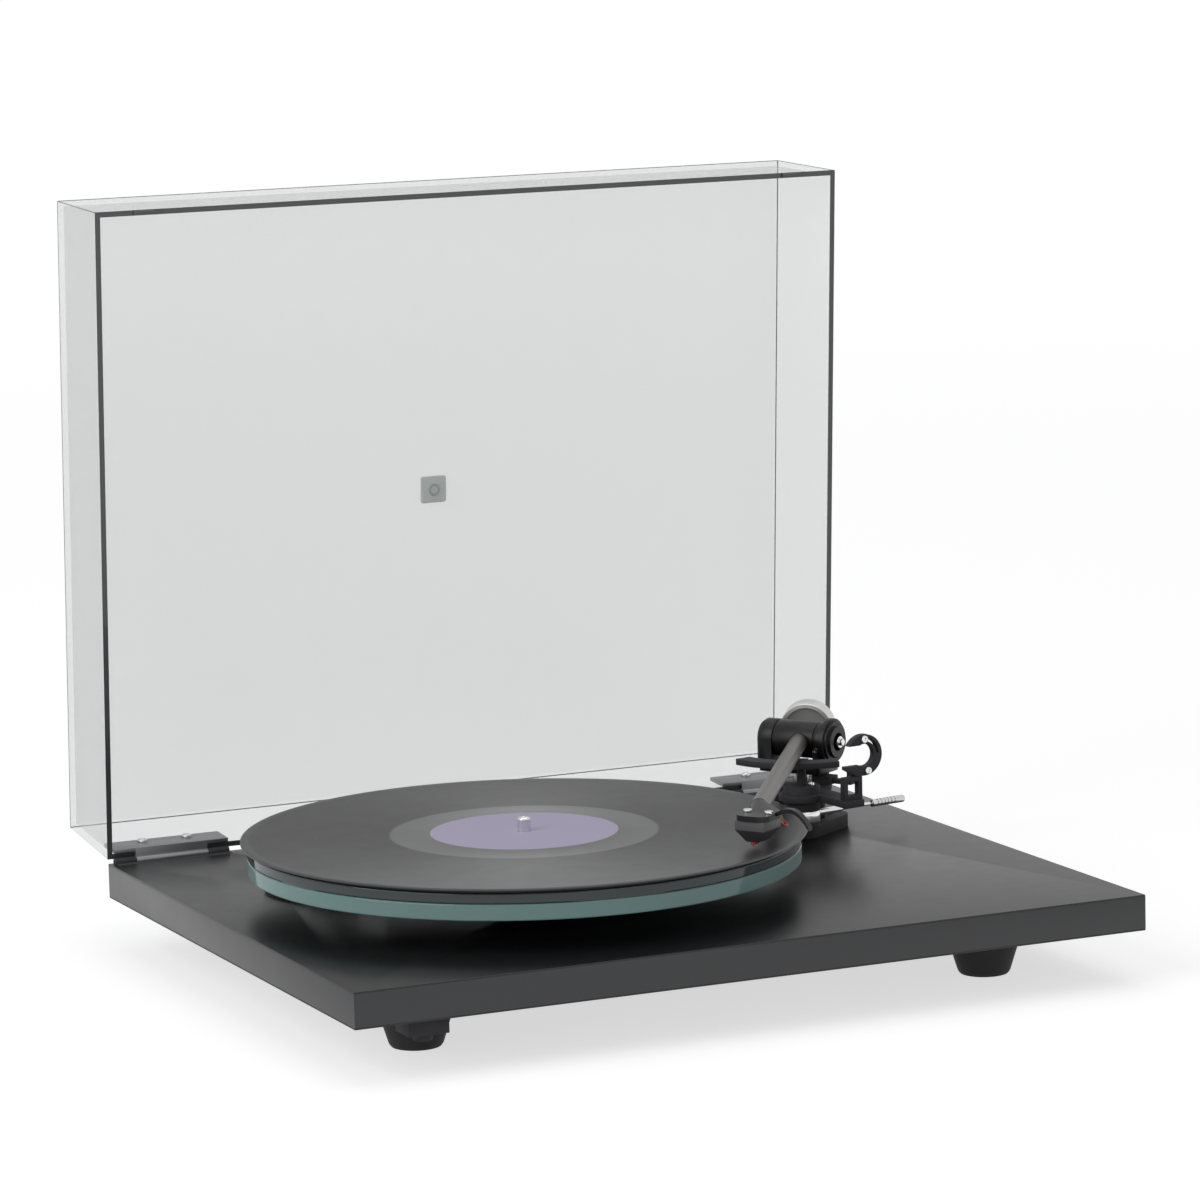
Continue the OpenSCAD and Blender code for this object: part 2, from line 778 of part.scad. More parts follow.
// Column with the vertical bearing, and the threaded tail through the plinth
module arm_pillar() {
    color([0.10, 0.10, 0.11]) place() translate([pivot_x, pivot_y, 0]) difference() {
        union() {
            translate([0, 0, -tail_len]) cylinder(r = tail_r, h = tail_len + arm_base_t);
            translate([0, 0, arm_base_t]) cylinder(r = pillar_neck_r, h = pillar_top - arm_base_t);
            translate([0, 0, pillar_neck_z - 4]) cylinder(r = pillar_r, h = 5.5);
        }
        translate([0, 0, -tail_len + 2]) cylinder(r = arm_spindle_r + RUN, h = tail_len + pillar_top);
    }
}

module arm_nut() {
    color([0.7, 0.6, 0.35]) place() translate([pivot_x, pivot_y, -plinth_t - nut_t]) difference() {
        cylinder(r = 17, h = nut_t, $fn = 6);
        translate([0, 0, -1]) cylinder(r = tail_r, h = nut_t + 2);
    }
}

module rest_bracket() {
    color([0.09, 0.09, 0.10]) place() translate([pivot_x, pivot_y, bracket_z])
        linear_extrude(bracket_t) difference() {
            union() {
                circle(r = pillar_r);
                rotate(rest_bearing) translate([0, post_y[0] - 0.5])
                    square([rest_reach + claw_t / 2 + 1, post_y[1] - post_y[0] + 1]);
                translate([lift_x - pivot_x, lift_y - pivot_y]) circle(r = lift_r + 2.5);
            }
            circle(r = pillar_neck_r);
            translate([lift_x - pivot_x, lift_y - pivot_y]) circle(r = lift_r);
        }
}

// Window frame that carries the claw; the claw sits on its top
module rest_post() {
    low = bracket_z + bracket_t;
    high = axis_h - claw_out_r;
    color([0.08, 0.08, 0.09]) at_rest() translate([-claw_t / 2, 0, 0]) difference() {
        translate([0, post_y[0], low]) cube([claw_t, post_y[1] - post_y[0], high - low]);
        translate([-1, post_y[0] + post_rail, low + post_rail])
            cube([claw_t + 2, post_y[1] - post_y[0] - 2 * post_rail, high - low - 2 * post_rail]);
    }
}

// Open ring with a crescent slot and a lip over the post
module claw_outline() {
    difference() {
        union() {
            circle(r = claw_out_r);
            polygon([[0, -claw_out_r], [-5, -claw_out_r], [-claw_lip, -7.4], [-claw_lip, -claw_gap],
                [0, -claw_gap]]);
        }
        circle(r = claw_in_r);
        translate([-2 * claw_out_r, -claw_gap]) square([2 * claw_out_r, 2 * claw_gap]);
        intersection() {
            difference() {
                circle(r = claw_in_r + 3.1);
                circle(r = claw_in_r + 1.4);
            }
            wedge(3 * claw_out_r, 2, 72);
        }
    }
}

module rest_claw() {
    color([0.08, 0.08, 0.09]) at_rest() translate([-claw_t / 2, 0, axis_h]) difference() {
        rotate([90, 0, 90]) linear_extrude(claw_t) claw_outline();
        for (a = claw_screw_angles) rotate([a, 0, 0])
            translate([0, claw_screw_r, 0]) rod_x(1.1, -1, claw_t + 1);
    }
}

module rest_and_lift_screws() {
    color([0.8, 0.7, 0.4]) at_lift() rotate([0, 0, lift_screw_turn])
        translate([lift_screw_reach, 0, lift_top]) screw(1.7, 2.2, 0.9, 4.9);
    color("silver") at_rest() translate([claw_t / 2, 0, axis_h]) for (a = claw_screw_angles)
        rotate([a, 0, 0]) translate([0, claw_screw_r, 0]) rotate([0, 90, 0])
            screw(2, 1.2, 1.1, claw_t);
}

// Guide under the yoke, with the slider's slot along the bearing axis
module bias_guide() {
    color([0.09, 0.09, 0.10]) at_yoke() difference() {
        translate([-bias_w / 2 - 2, 9, pillar_top]) cube([bias_w + 4, 12, bias_h + 2.2]);
        translate([-bias_w / 2 - RUN, 8, bias_z - RUN]) cube([bias_w + 2 * RUN, 20, bias_h + 2 * RUN]);
        cylinder(r = arm_spindle_r + 2, h = 2 * pillar_top);
    }
}

module bias_slider() {
    color([0.12, 0.12, 0.13]) at_yoke() {
        translate([-bias_w / 2, 10, bias_z]) cube([bias_w, bias_reach - 10, bias_h]);
        translate([-bias_w / 2, bias_reach - 2.5, bias_z]) cube([bias_w, 2.5, bias_post_h]);
        translate([0, 0, bias_z + bias_post_h - 2.5]) rod_y(2.5, bias_reach - 1, bias_reach + 2.5);
    }
}

// ---- cue lift --------------------------------------------------------------

// Body in three heights: a foot, a core that the collar turns on, and a head
module lift_body() {
    color([0.09, 0.09, 0.10]) at_lift() difference() {
        union() {
            translate([0, 0, lift_z]) cylinder(r = lift_r, h = collar_z[0] - RUN - lift_z);
            translate([0, 0, lift_z]) cylinder(r = core_r, h = lift_top - lift_z);
            translate([0, 0, collar_z[1] + RUN]) cylinder(r = lift_r, h = lift_top - collar_z[1] - RUN);
        }
        translate([0, 0, lift_pin_z - 1]) cylinder(r = lift_pin_r + RUN, h = lift_top);
        rotate([0, 0, lift_screw_turn]) translate([lift_screw_reach, 0, lift_top - 5])
            cylinder(r = 0.9 + RUN, h = 6);
    }
}

// Curved bar under the arm tube, on a pin in the lift body
module lift_platform() {
    color([0.10, 0.10, 0.11]) {
        place() translate([pivot_x, pivot_y, platform_z]) linear_extrude(platform_t) {
            rotate(arm_bearing) difference() {
                circle(r = lift_arc[1]);
                circle(r = lift_arc[0]);
                wedge(3 * lift_arc[1], platform_sweep[1], platform_sweep[0] + 360);
            }
            rotate(lift_bearing) translate([lift_reach - 3.5, -4]) square([lift_arc[0] - lift_reach + 6, 8]);
        }
        at_lift() translate([0, 0, lift_pin_z]) cylinder(r = lift_pin_r, h = platform_z - lift_pin_z + 1);
    }
}

// Collar with the lever; the lever's root is thicker than its rod
module cue_lever() {
    color([0.75, 0.75, 0.77]) at_lift() {
        translate([0, 0, collar_z[0]]) ring(lift_r, core_r + RUN, collar_z[1] - collar_z[0]);
        rotate([0, 0, lever_bearing]) translate([0, 0, lever_z]) {
            rod_x(lever_thick_r, (core_r + lift_r) / 2, lever_thick_end);
            rod_x(lever_thin_r, lever_thick_end - 1, lever_grip_start + 1);
        }
    }
}

// Sleeve with grooves near its root
module cue_grip() {
    color([0.6, 0.6, 0.62]) at_lift() rotate([0, 0, lever_bearing]) translate([0, 0, lever_z])
        difference() {
            rod_x(lever_grip_r, lever_grip_start, lever_len);
            rod_x(lever_thin_r, lever_grip_start - 1, lever_grip_start + 1);
            for (k = [0:5]) difference() {
                rod_x(lever_grip_r + 1, lever_grip_start + 3 + 2.4 * k, lever_grip_start + 4 + 2.4 * k);
                rod_x(lever_grip_r - 0.45, lever_grip_start, lever_len);
            }
        }
}

// ---- swinging pieces of the tonearm ----------------------------------------

// Side of the yoke: a round top over a straight foot
module yoke_side(y0, y1) {
    rod_y(yoke_arm_r, y0, y1);
    translate([-yoke_arm_r, y0, yoke_z - axis_h]) cube([2 * yoke_arm_r, y1 - y0, axis_h - yoke_z]);
}

module yoke() {
    color([0.07, 0.07, 0.08]) at_yoke() translate([0, 0, axis_h]) difference() {
        union() {
            yoke_side(yoke_left[0], yoke_left[1]);
            yoke_side(yoke_right[0], yoke_right[1]);
            translate([-yoke_arm_r, yoke_left[0], yoke_z - axis_h])
                cube([2 * yoke_arm_r, yoke_right[1] - yoke_left[0], yoke_base_t]);
        }
        rod_y(axle_r + RUN, yoke_left[0] - 1, yoke_right[1] + 1);
        translate([0, 0, yoke_z - axis_h - 1]) cylinder(r = arm_spindle_r, h = yoke_base_t + 2);
    }
}

module yoke_cap() {
    color([0.12, 0.12, 0.13]) at_yoke() translate([0, 0, axis_h]) difference() {
        union() {
            rod_y(yoke_arm_r - 1.2, yoke_left[0] - 2, yoke_left[0]);
            translate([1.2 - yoke_arm_r, yoke_left[0] - 2, yoke_z - axis_h + 3])
                cube([2 * yoke_arm_r - 2.4, 2, axis_h - yoke_z - 3]);
        }
        rod_y(1.6, yoke_left[0] - 3, yoke_left[0] + 1);
    }
}

module yoke_screw() {
    color("silver") at_yoke() {
        translate([0, yoke_left[0] - 2, axis_h]) rotate([90, 0, 0]) screw(2.6, 1.5, 1.6, 2);
        translate([yoke_arm_r, (yoke_right[0] + yoke_right[1]) / 2, axis_h - 4]) rotate([0, 90, 0])
            screw(1.6, 0.9, 0.8, 0);
    }
}

module yoke_spindle() {
    color("silver") at_yoke() translate([0, 0, 4 - tail_len])
        cylinder(r = arm_spindle_r, h = yoke_z + yoke_base_t - 4 + tail_len);
}

// Stepped dial with a shallow cup for its knob
module force_dial() {
    color([0.07, 0.07, 0.08]) at_yoke() translate([0, 0, axis_h]) difference() {
        union() {
            rod_y(dial_r, dial_y, dial_y + 3);
            rod_y(dial_r - 1.4, dial_y, dial_y + 4.4);
            rod_y(dial_r - 4, dial_y, dial_y + dial_t);
        }
        rod_y(dial_cup_r, dial_y + 3, dial_y + dial_t + 1);
    }
}

module dial_knob() {
    color("silver") at_yoke() translate([0, 0, axis_h]) {
        rod_y(3.4, dial_y + 3, dial_y + dial_t + 1.5);
        rod_y(2, dial_y + dial_t, dial_y + dial_t + 3.2);
    }
}

// ---- tilting pieces of the tonearm -----------------------------------------

// Barrel across the arm between the sides of the yoke, with the tail behind
module arm_hub() {
    color([0.08, 0.08, 0.09]) difference() {
        union() {
            at_yoke() translate([0, 0, axis_h]) rod_y(arm_hub_r, -hub_half, hub_half);
            at_arm() translate([0, 0, axis_h]) rod_x(stub_r, -stub_len, 0);
        }
        at_yoke() translate([0, 0, axis_h]) rod_y(axle_r, -hub_half - 1, hub_half + 1);
        at_arm() translate([0, 0, axis_h]) rod_x(tube_r_back, tube_start, arm_reach);
    }
}

module tilt_axle() {
    color("silver") at_yoke() translate([0, 0, axis_h])
        rod_y(axle_r, yoke_left[0] + 0.5, yoke_right[1] - 0.5);
}

// Tapered tube, sloping a little between the bearings and the headshell
module arm_tube() {
    color([0.36, 0.35, 0.35]) at_arm() translate([0, 0, axis_h]) rotate([0, -tube_rise, 0])
        difference() {
            translate([tube_start, 0, 0]) rotate([0, 90, 0])
                cylinder(r1 = tube_r_back - 0.2, r2 = tube_r_front, h = tube_end - tube_start);
            translate([tube_start + 2, 0, 0]) rotate([0, 90, 0])
                cylinder(r1 = tube_r_back - 0.2 - tube_wall, r2 = tube_r_front - tube_wall,
                    h = tube_end - tube_start);
        }
}

// Neck that closes the tube and flattens into the plate that holds the cartridge
module headshell() {
    color([0.08, 0.08, 0.09]) difference() {
        union() {
            at_stylus() translate([0, 0, shell_z]) linear_extrude(shell_t)
                round_rect(shell_back - 4, shell_front, -shell_half_w, shell_half_w, 6);
            hull() {
                at_stylus() translate([shell_back, 0, shell_z]) cylinder(r = 7, h = shell_t, $fn = 32);
                at_arm() translate([tube_end + 0.02, 0, shell_z + shell_t / 2]) rotate([0, 90, 0])
                    cylinder(r = tube_r_front - 0.3, h = 2, $fn = 32);
            }
            finger_lift();
        }
        for (y = shell_screw_y) at_stylus() translate([shell_screw_x, y, shell_z - 1])
            cylinder(r = shell_screw_r, h = shell_t + 2);
        at_stylus() translate([shell_back - 0.02, -shell_half_w - 1, shell_z - shell_cut])
            cube([shell_front - shell_back + 1, 2 * shell_half_w + 2, shell_cut]);
    }
}

// Curled bar at the side of the headshell, to lift the arm by hand
module finger_lift() {
    at_stylus() translate([-12, 0, shell_z + 0.6]) rotate([90, 0, 90]) linear_extrude(4)
        polygon(concat(
            [for (k = [0:8]) finger_line(k / 8) + [0, 1.1]],
            [for (k = [8:-1:0]) finger_line(k / 8) - [0, 1.1]]));
}

function finger_line(t) = [shell_half_w - 2 + 21 * t, 1 + 4.4 * sin(150 * t) - 7.5 * t * t * t];

module cartridge() {
    half = cartridge_w / 2;
    color([0.06, 0.06, 0.06]) at_stylus() {
        difference() {
            hull() {
                translate([-14, -half, shell_z - 5]) cube([17.5, cartridge_w, 5]);
                translate([-10, -half * 0.42, stylus_z + holder_top]) cube([10.5, half * 0.84, 1]);
            }
            for (y = shell_screw_y) translate([shell_screw_x, y, shell_z - 4])
                cylinder(r = shell_screw_r, h = 5);
        }
    }
}

// Screws, contact pins, red stylus holder, cantilever and tip
module cartridge_fittings() {
    color("silver") at_stylus() {
        for (y = shell_screw_y) translate([shell_screw_x, y, shell_z + shell_t])
            screw(2.3, 1.6, shell_screw_r, shell_t + 3.5);
        for (y = [-5.4:3.6:5.4]) translate([0, y, shell_z - 3.2]) rod_x(0.55, pin_end, shell_back);
    }
    color([0.7, 0.1, 0.1]) at_stylus() translate([-3.4, -1.3, stylus_z + holder_top - 1.3])
        cube([3.6, 2.6, 1.3]);
    color("silver") at_stylus() translate([-0.2, 0, stylus_z])
        cylinder(r1 = 0.15, r2 = 0.5, h = 1.1, $fn = 24);
}

// Four leads from the contact pins to the end of the tube, each in a loop
module cartridge_leads() {
    colours = [[0.15, 0.3, 0.7], [0.9, 0.9, 0.88], [0.2, 0.6, 0.3], [0.75, 0.12, 0.12]];
    at_stylus() for (k = [0:3]) color(colours[k]) swept([
        [pin_end - EPS, lead_places[k], shell_z - 3.2],
        [-20.5, lead_places[k] + 1.2, shell_z - 3.9 - 0.5 * k],
        [-24, lead_places[k] * 0.8 + 2.4, shell_z - 3.6 - 0.9 * k],
        [-27, lead_places[k] * 0.4 - 0.2, shell_z - 2.4 - 0.4 * k],
        [-28.6, lead_places[k] * 0.35 - 2.6, shell_z - 0.2]], lead_r, 8, 16);
}

module counterweight() {
    color([0.75, 0.75, 0.74]) at_arm() translate([0, 0, axis_h]) difference() {
        rod_x(weight_r, -weight_back - weight_len, -weight_back);
        rod_x(stub_r + RUN, -weight_back - weight_len - 1, -weight_back + 1);
        rod_x(weight_r - 3, -weight_back - 1.2, -weight_back + 1);
    }
}

// ---- drawing ---------------------------------------------------------------

plinth_core();
deck_skin();
base_skin();
feet();
foot_screws();
bearing_housing();
bearing_ball();
motor_can();
motor_plate();
motor_screws();
motor_shaft();
pulley();
drive_belt();
sub_platter();
spindle();
platter_ring();
platter_disc();
platter_mat();
record();
record_label();
switch_body();
power_button();
power_socket();
signal_gland();
hinge_bases();
hinge_pins();
hinge_base_screws();
hinge_leaves();
leaf_screws();
lid_shell();
lid_boss();
lid_bumpers();
arm_base();
arm_base_screws();
arm_pillar();
arm_nut();
rest_bracket();
rest_post();
rest_claw();
rest_and_lift_screws();
bias_guide();
bias_slider();
lift_body();
lift_platform();
cue_lever();
cue_grip();
yoke();
yoke_cap();
yoke_spindle();
yoke_screw();
force_dial();
dial_knob();
arm_hub();
arm_tube();
tilt_axle();
headshell();
cartridge();
cartridge_fittings();
cartridge_leads();
counterweight();
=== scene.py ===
"""Finished looks of a belt-drive record player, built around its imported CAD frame."""

import json
import logging
import math
from dataclasses import dataclass, field
from enum import Enum
from typing import Callable, Iterable, Sequence

import bmesh
import bpy
from mathutils import Matrix, Vector

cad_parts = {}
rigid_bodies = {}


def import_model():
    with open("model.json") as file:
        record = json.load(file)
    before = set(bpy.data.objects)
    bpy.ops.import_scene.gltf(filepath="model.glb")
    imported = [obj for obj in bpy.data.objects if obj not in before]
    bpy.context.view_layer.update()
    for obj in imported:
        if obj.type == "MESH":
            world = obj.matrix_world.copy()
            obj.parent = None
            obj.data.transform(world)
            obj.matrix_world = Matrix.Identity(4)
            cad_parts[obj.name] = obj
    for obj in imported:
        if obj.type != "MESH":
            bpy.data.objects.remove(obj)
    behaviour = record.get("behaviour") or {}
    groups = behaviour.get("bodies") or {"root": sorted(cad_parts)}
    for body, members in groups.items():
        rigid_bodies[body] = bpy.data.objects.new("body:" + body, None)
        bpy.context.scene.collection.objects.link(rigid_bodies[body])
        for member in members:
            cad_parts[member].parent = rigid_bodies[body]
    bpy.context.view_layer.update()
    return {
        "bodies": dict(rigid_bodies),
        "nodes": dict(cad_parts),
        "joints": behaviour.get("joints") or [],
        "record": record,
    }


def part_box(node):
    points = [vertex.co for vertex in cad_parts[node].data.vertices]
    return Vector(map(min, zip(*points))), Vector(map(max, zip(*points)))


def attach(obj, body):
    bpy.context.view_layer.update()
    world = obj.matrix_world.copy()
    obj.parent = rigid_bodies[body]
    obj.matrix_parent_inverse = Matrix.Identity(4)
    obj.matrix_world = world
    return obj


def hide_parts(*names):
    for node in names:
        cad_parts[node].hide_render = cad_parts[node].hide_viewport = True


LOG = logging.getLogger("record_player")
MM = 0.001
SHARP_ANGLE = math.radians(32)
SMOOTH_ANGLE = math.radians(23)

Colour = tuple[float, float, float]
Profile = Sequence[tuple[float, float]]


# ---- node groups ------------------------------------------------------------


class Nodes:
    """A node tree with short ways to add and join its nodes."""

    def __init__(self, tree: bpy.types.NodeTree) -> None:
        """Start on an empty tree.

        Args:
            tree: The tree of a material, a world or a group.
        """
        self.tree = tree
        tree.nodes.clear()

    def add(self, kind: str, **values: object) -> bpy.types.Node:
        """Add one node and set its properties.

        Args:
            kind: The node's type name.
            **values: Properties of the node.

        Returns:
            The new node.
        """
        made = self.tree.nodes.new(kind)
        for key, value in values.items():
            setattr(made, key, value)
        return made

    def join(self, output: bpy.types.NodeSocket, target: bpy.types.NodeSocket) -> None:
        """Join an output to an input."""
        self.tree.links.new(output, target)

    def math(self, operation: str, a: object, b: object = 0.0) -> bpy.types.NodeSocket:
        """Add a Math node.

        Args:
            operation: The node's operation.
            a: A number or a socket.
            b: A number or a socket.

        Returns:
            The node's output.
        """
        made = self.add("ShaderNodeMath", operation=operation)
        for index, value in enumerate((a, b)):
            if isinstance(value, bpy.types.NodeSocket):
                self.join(value, made.inputs[index])
            else:
                made.inputs[index].default_value = value
        return made.outputs[0]

    def ramp(
        self,
        factor: bpy.types.NodeSocket,
        stops: Sequence[tuple[float, Colour]],
        interpolation: str = "LINEAR",
    ) -> bpy.types.NodeSocket:
        """Add a colour ramp.

        Args:
            factor: What the ramp reads.
            stops: Position and colour of each stop.
            interpolation: How it goes from stop to stop.

        Returns:
            The colour output.
        """
        made = self.add("ShaderNodeValToRGB")
        ramp = made.color_ramp
        ramp.interpolation = interpolation
        while len(ramp.elements) < len(stops):
            ramp.elements.new(0.5)
        for element, (position, colour) in zip(ramp.elements, stops):
            element.position = position
            element.color = (*colour, 1)
        self.join(factor, made.inputs["Fac"])
        return made.outputs["Color"]


def grain_group() -> bpy.types.NodeTree:
    """Fine and broad unevenness of colour, gloss and height, shared by all finishes.

    Returns:
        The node group.
    """
    tree = bpy.data.node_groups.new("surface_grain", "ShaderNodeTree")
    nodes = Nodes(tree)
    for name, kind in (
        ("Vector", "NodeSocketVector"),
        ("Size", "NodeSocketFloat"),
        ("Colour", "NodeSocketColor"),
        ("Colour Change", "NodeSocketFloat"),
        ("Roughness", "NodeSocketFloat"),
        ("Roughness Change", "NodeSocketFloat"),
    ):
        tree.interface.new_socket(name, in_out="INPUT", socket_type=kind)
    for name, kind in (
        ("Colour", "NodeSocketColor"),
        ("Roughness", "NodeSocketFloat"),
        ("Height", "NodeSocketFloat"),
    ):
        tree.interface.new_socket(name, in_out="OUTPUT", socket_type=kind)
    given = nodes.add("NodeGroupInput")
    result = nodes.add("NodeGroupOutput")
    fine = nodes.add("ShaderNodeTexNoise")
    fine.inputs["Detail"].default_value = 3
    broad = nodes.add("ShaderNodeTexNoise")
    broad.inputs["Detail"].default_value = 2
    scale = nodes.math("DIVIDE", 1.0, given.outputs["Size"])
    nodes.join(given.outputs["Vector"], fine.inputs["Vector"])
    nodes.join(given.outputs["Vector"], broad.inputs["Vector"])
    nodes.join(scale, fine.inputs["Scale"])
    nodes.join(nodes.math("MULTIPLY", scale, 0.03), broad.inputs["Scale"])
    blend = nodes.math("MULTIPLY", nodes.math("ADD", fine.outputs["Fac"], broad.outputs["Fac"]), 0.5)
    swing = nodes.math("MULTIPLY", nodes.math("SUBTRACT", blend, 0.5), 2.0)
    bright = nodes.math("ADD", 1.0, nodes.math("MULTIPLY", swing, given.outputs["Colour Change"]))
    tint = nodes.add("ShaderNodeVectorMath", operation="SCALE")
    nodes.join(given.outputs["Colour"], tint.inputs[0])
    nodes.join(bright, tint.inputs["Scale"])
    nodes.join(tint.outputs["Vector"], result.inputs["Colour"])
    rough = nodes.math(
        "ADD", given.outputs["Roughness"], nodes.math("MULTIPLY", swing, given.outputs["Roughness Change"])
    )
    nodes.join(rough, result.inputs["Roughness"])
    nodes.join(fine.outputs["Fac"], result.inputs["Height"])
    return tree


# ---- finishes ---------------------------------------------------------------


@dataclass(frozen=True)
class Finish:
    """An opaque finish: colour and gloss with fine grain."""

    name: str
    colour: Colour
    roughness: float = 0.4
    metallic: float = 0.0
    grain: float = 0.4
    colour_change: float = 0.08
    roughness_change: float = 0.06
    bump: float = 0.02
    coat: float = 0.0
    specular: float = 0.5
    sheen: float = 0.0

    def build(self) -> bpy.types.Material:
        """Make the material once and hand out the same one after that.

        Returns:
            The material.
        """
        known = bpy.data.materials.get(self.name)
        if known:
            return known
        material = bpy.data.materials.new(self.name)
        material.use_nodes = True
        material.diffuse_color = (*self.colour, 1)
        nodes = Nodes(material.node_tree)
        shader = nodes.add("ShaderNodeBsdfPrincipled")
        output = nodes.add("ShaderNodeOutputMaterial")
        self.dress(nodes, shader)
        self.close(nodes, shader, output)
        return material

    def close(self, nodes: Nodes, shader: bpy.types.Node, output: bpy.types.Node) -> None:
        """Join the shader to the material's output."""
        nodes.join(shader.outputs[0], output.inputs["Surface"])

    def grained(self, nodes: Nodes, shader: bpy.types.Node) -> bpy.types.Node:
        """Place the shared grain and set the constant sockets.

        Args:
            nodes: The material's tree.
            shader: Its Principled BSDF.

        Returns:
            The grain group's node.
        """
        where = nodes.add("ShaderNodeTexCoord")
        grain = nodes.add("ShaderNodeGroup", node_tree=bpy.data.node_groups["surface_grain"])
        nodes.join(where.outputs["Object"], grain.inputs["Vector"])
        for socket, value in (
            ("Size", self.grain * MM),
            ("Colour", (*self.colour, 1)),
            ("Colour Change", self.colour_change),
            ("Roughness", self.roughness),
            ("Roughness Change", self.roughness_change),
        ):
            grain.inputs[socket].default_value = value
        shader.inputs["Metallic"].default_value = self.metallic
        shader.inputs["Coat Weight"].default_value = self.coat
        shader.inputs["Specular IOR Level"].default_value = self.specular
        shader.inputs["Sheen Weight"].default_value = self.sheen
        nodes.join(grain.outputs["Roughness"], shader.inputs["Roughness"])
        return grain

    def dress(self, nodes: Nodes, shader: bpy.types.Node) -> None:
        """Feed the shader from the grain.

        Args:
            nodes: The material's tree.
            shader: Its Principled BSDF.
        """
        grain = self.grained(nodes, shader)
        nodes.join(grain.outputs["Colour"], shader.inputs["Base Color"])
        self.raise_surface(nodes, shader, grain.outputs["Height"], self.bump)

    def raise_surface(
        self, nodes: Nodes, shader: bpy.types.Node, height: bpy.types.NodeSocket, size: float
    ) -> None:
        """Add a bump.

        Args:
            nodes: The material's tree.
            shader: Its Principled BSDF.
            height: What the bump reads, from 0 to 1.
            size: Height of the bump in millimetres.
        """
        bump = nodes.add("ShaderNodeBump")
        bump.inputs["Strength"].default_value = 0.6
        bump.inputs["Distance"].default_value = size * MM
        nodes.join(height, bump.inputs["Height"])
        nodes.join(bump.outputs["Normal"], shader.inputs["Normal"])


@dataclass(frozen=True)
class TurnedMetal(Finish):
    """Metal with fine lathe rings around an axis through a point."""

    centre: tuple[float, float, float] = (0, 0, 0)
    axis: tuple[float, float, float] = (0, 0, 1)
    pitch: float = 0.35

    def dress(self, nodes: Nodes, shader: bpy.types.Node) -> None:
        """Feed the shader from the grain and the rings.

        Args:
            nodes: The material's tree.
            shader: Its Principled BSDF.
        """
        grain = self.grained(nodes, shader)
        nodes.join(grain.outputs["Colour"], shader.inputs["Base Color"])
        radius = radius_of(nodes, self.centre, self.axis)
        wave = nodes.math("SINE", nodes.math("MULTIPLY", radius, 2 * math.pi / (self.pitch * MM)))
        self.raise_surface(nodes, shader, nodes.math("ADD", wave, grain.outputs["Height"]), self.bump)


@dataclass(frozen=True)
class Clear(Finish):
    """Glass or acrylic: light passes, and shadow rays pass as well."""

    ior: float = 1.49
    grazing: Colour = (0.6, 0.62, 0.62)
    shadow: float = 0.85
    transmission: float = 1.0
    alpha: float = 1.0

    def dress(self, nodes: Nodes, shader: bpy.types.Node) -> None:
        """Feed the shader: a deeper tint where the wall is seen edge on.

        Args:
            nodes: The material's tree.
            shader: Its Principled BSDF.
        """
        grain = self.grained(nodes, shader)
        shader.inputs["Transmission Weight"].default_value = self.transmission
        shader.inputs["IOR"].default_value = self.ior
        shader.inputs["Alpha"].default_value = self.alpha
        facing = nodes.add("ShaderNodeLayerWeight")
        facing.inputs["Blend"].default_value = 0.35
        tint = nodes.add("ShaderNodeMix", data_type="RGBA")
        nodes.join(nodes.math("POWER", facing.outputs["Facing"], 3.0), tint.inputs["Factor"])
        nodes.join(grain.outputs["Colour"], tint.inputs[6])
        tint.inputs[7].default_value = (*self.grazing, 1)
        nodes.join(tint.outputs[2], shader.inputs["Base Color"])

    def close(self, nodes: Nodes, shader: bpy.types.Node, output: bpy.types.Node) -> None:
        """Let most light through for shadows.

        Args:
            nodes: The material's tree.
            shader: Its Principled BSDF.
            output: The material's output.
        """
        path = nodes.add("ShaderNodeLightPath")
        through = nodes.add("ShaderNodeBsdfTransparent")
        through.inputs["Color"].default_value = (self.shadow, self.shadow, self.shadow, 1)
        mix = nodes.add("ShaderNodeMixShader")
        nodes.join(path.outputs["Is Shadow Ray"], mix.inputs["Fac"])
        nodes.join(shader.outputs[0], mix.inputs[1])
        nodes.join(through.outputs[0], mix.inputs[2])
        nodes.join(mix.outputs[0], output.inputs["Surface"])


@dataclass(frozen=True)
class PressedVinyl(Finish):
    """Record vinyl: grooves, with painted reflection as a lighter run-out, light and dark lines at the gaps between
    tracks and a lighter rim; the tracks keep the vinyl's own black.
    """

    centre: tuple[float, float, float] = (0, 0, 0)
    groove: float = 0.5

    def dress(self, nodes: Nodes, shader: bpy.types.Node) -> None:
        """Feed the shader from the distance to the spindle.

        Args:
            nodes: The material's tree.
            shader: Its Principled BSDF.
        """
        self.grained(nodes, shader)
        radius = radius_of(nodes, self.centre, (0, 0, 1))
        share = nodes.math("DIVIDE", radius, 0.1505)
        # Painted reflection: near is the run-out painted lighter grey, and the lines at the track gaps and the lighter
        # rim stop are painted reflection too; track is the vinyl's own black.
        near, track = (0.17, 0.17, 0.175), (0.02, 0.02, 0.021)
        stops = [(0.0, near), (0.470, near), (0.478, track), (0.55, track), (0.553, (0.03, 0.03, 0.032)),
                 (0.556, track), (0.718, track), (0.722, (0.005, 0.005, 0.006)), (0.728, (0.035, 0.035, 0.037)),
                 (0.733, track), (0.86, track), (0.863, (0.03, 0.03, 0.032)), (0.866, track), (0.965, track),
                 (0.97, (0.05, 0.05, 0.052))]
        nodes.join(nodes.ramp(share, stops), shader.inputs["Base Color"])
        turn = nodes.add("ShaderNodeTangent", direction_type="RADIAL", axis="Z")
        nodes.join(turn.outputs["Tangent"], shader.inputs["Tangent"])
        shader.inputs["Anisotropic"].default_value = 0.8
        noise = nodes.add("ShaderNodeTexNoise", noise_dimensions="1D")
        noise.inputs["Scale"].default_value = 1 / (self.groove * MM)
        noise.inputs["Detail"].default_value = 4
        nodes.join(radius, noise.inputs["W"])
        self.raise_surface(nodes, shader, noise.outputs["Fac"], self.bump)


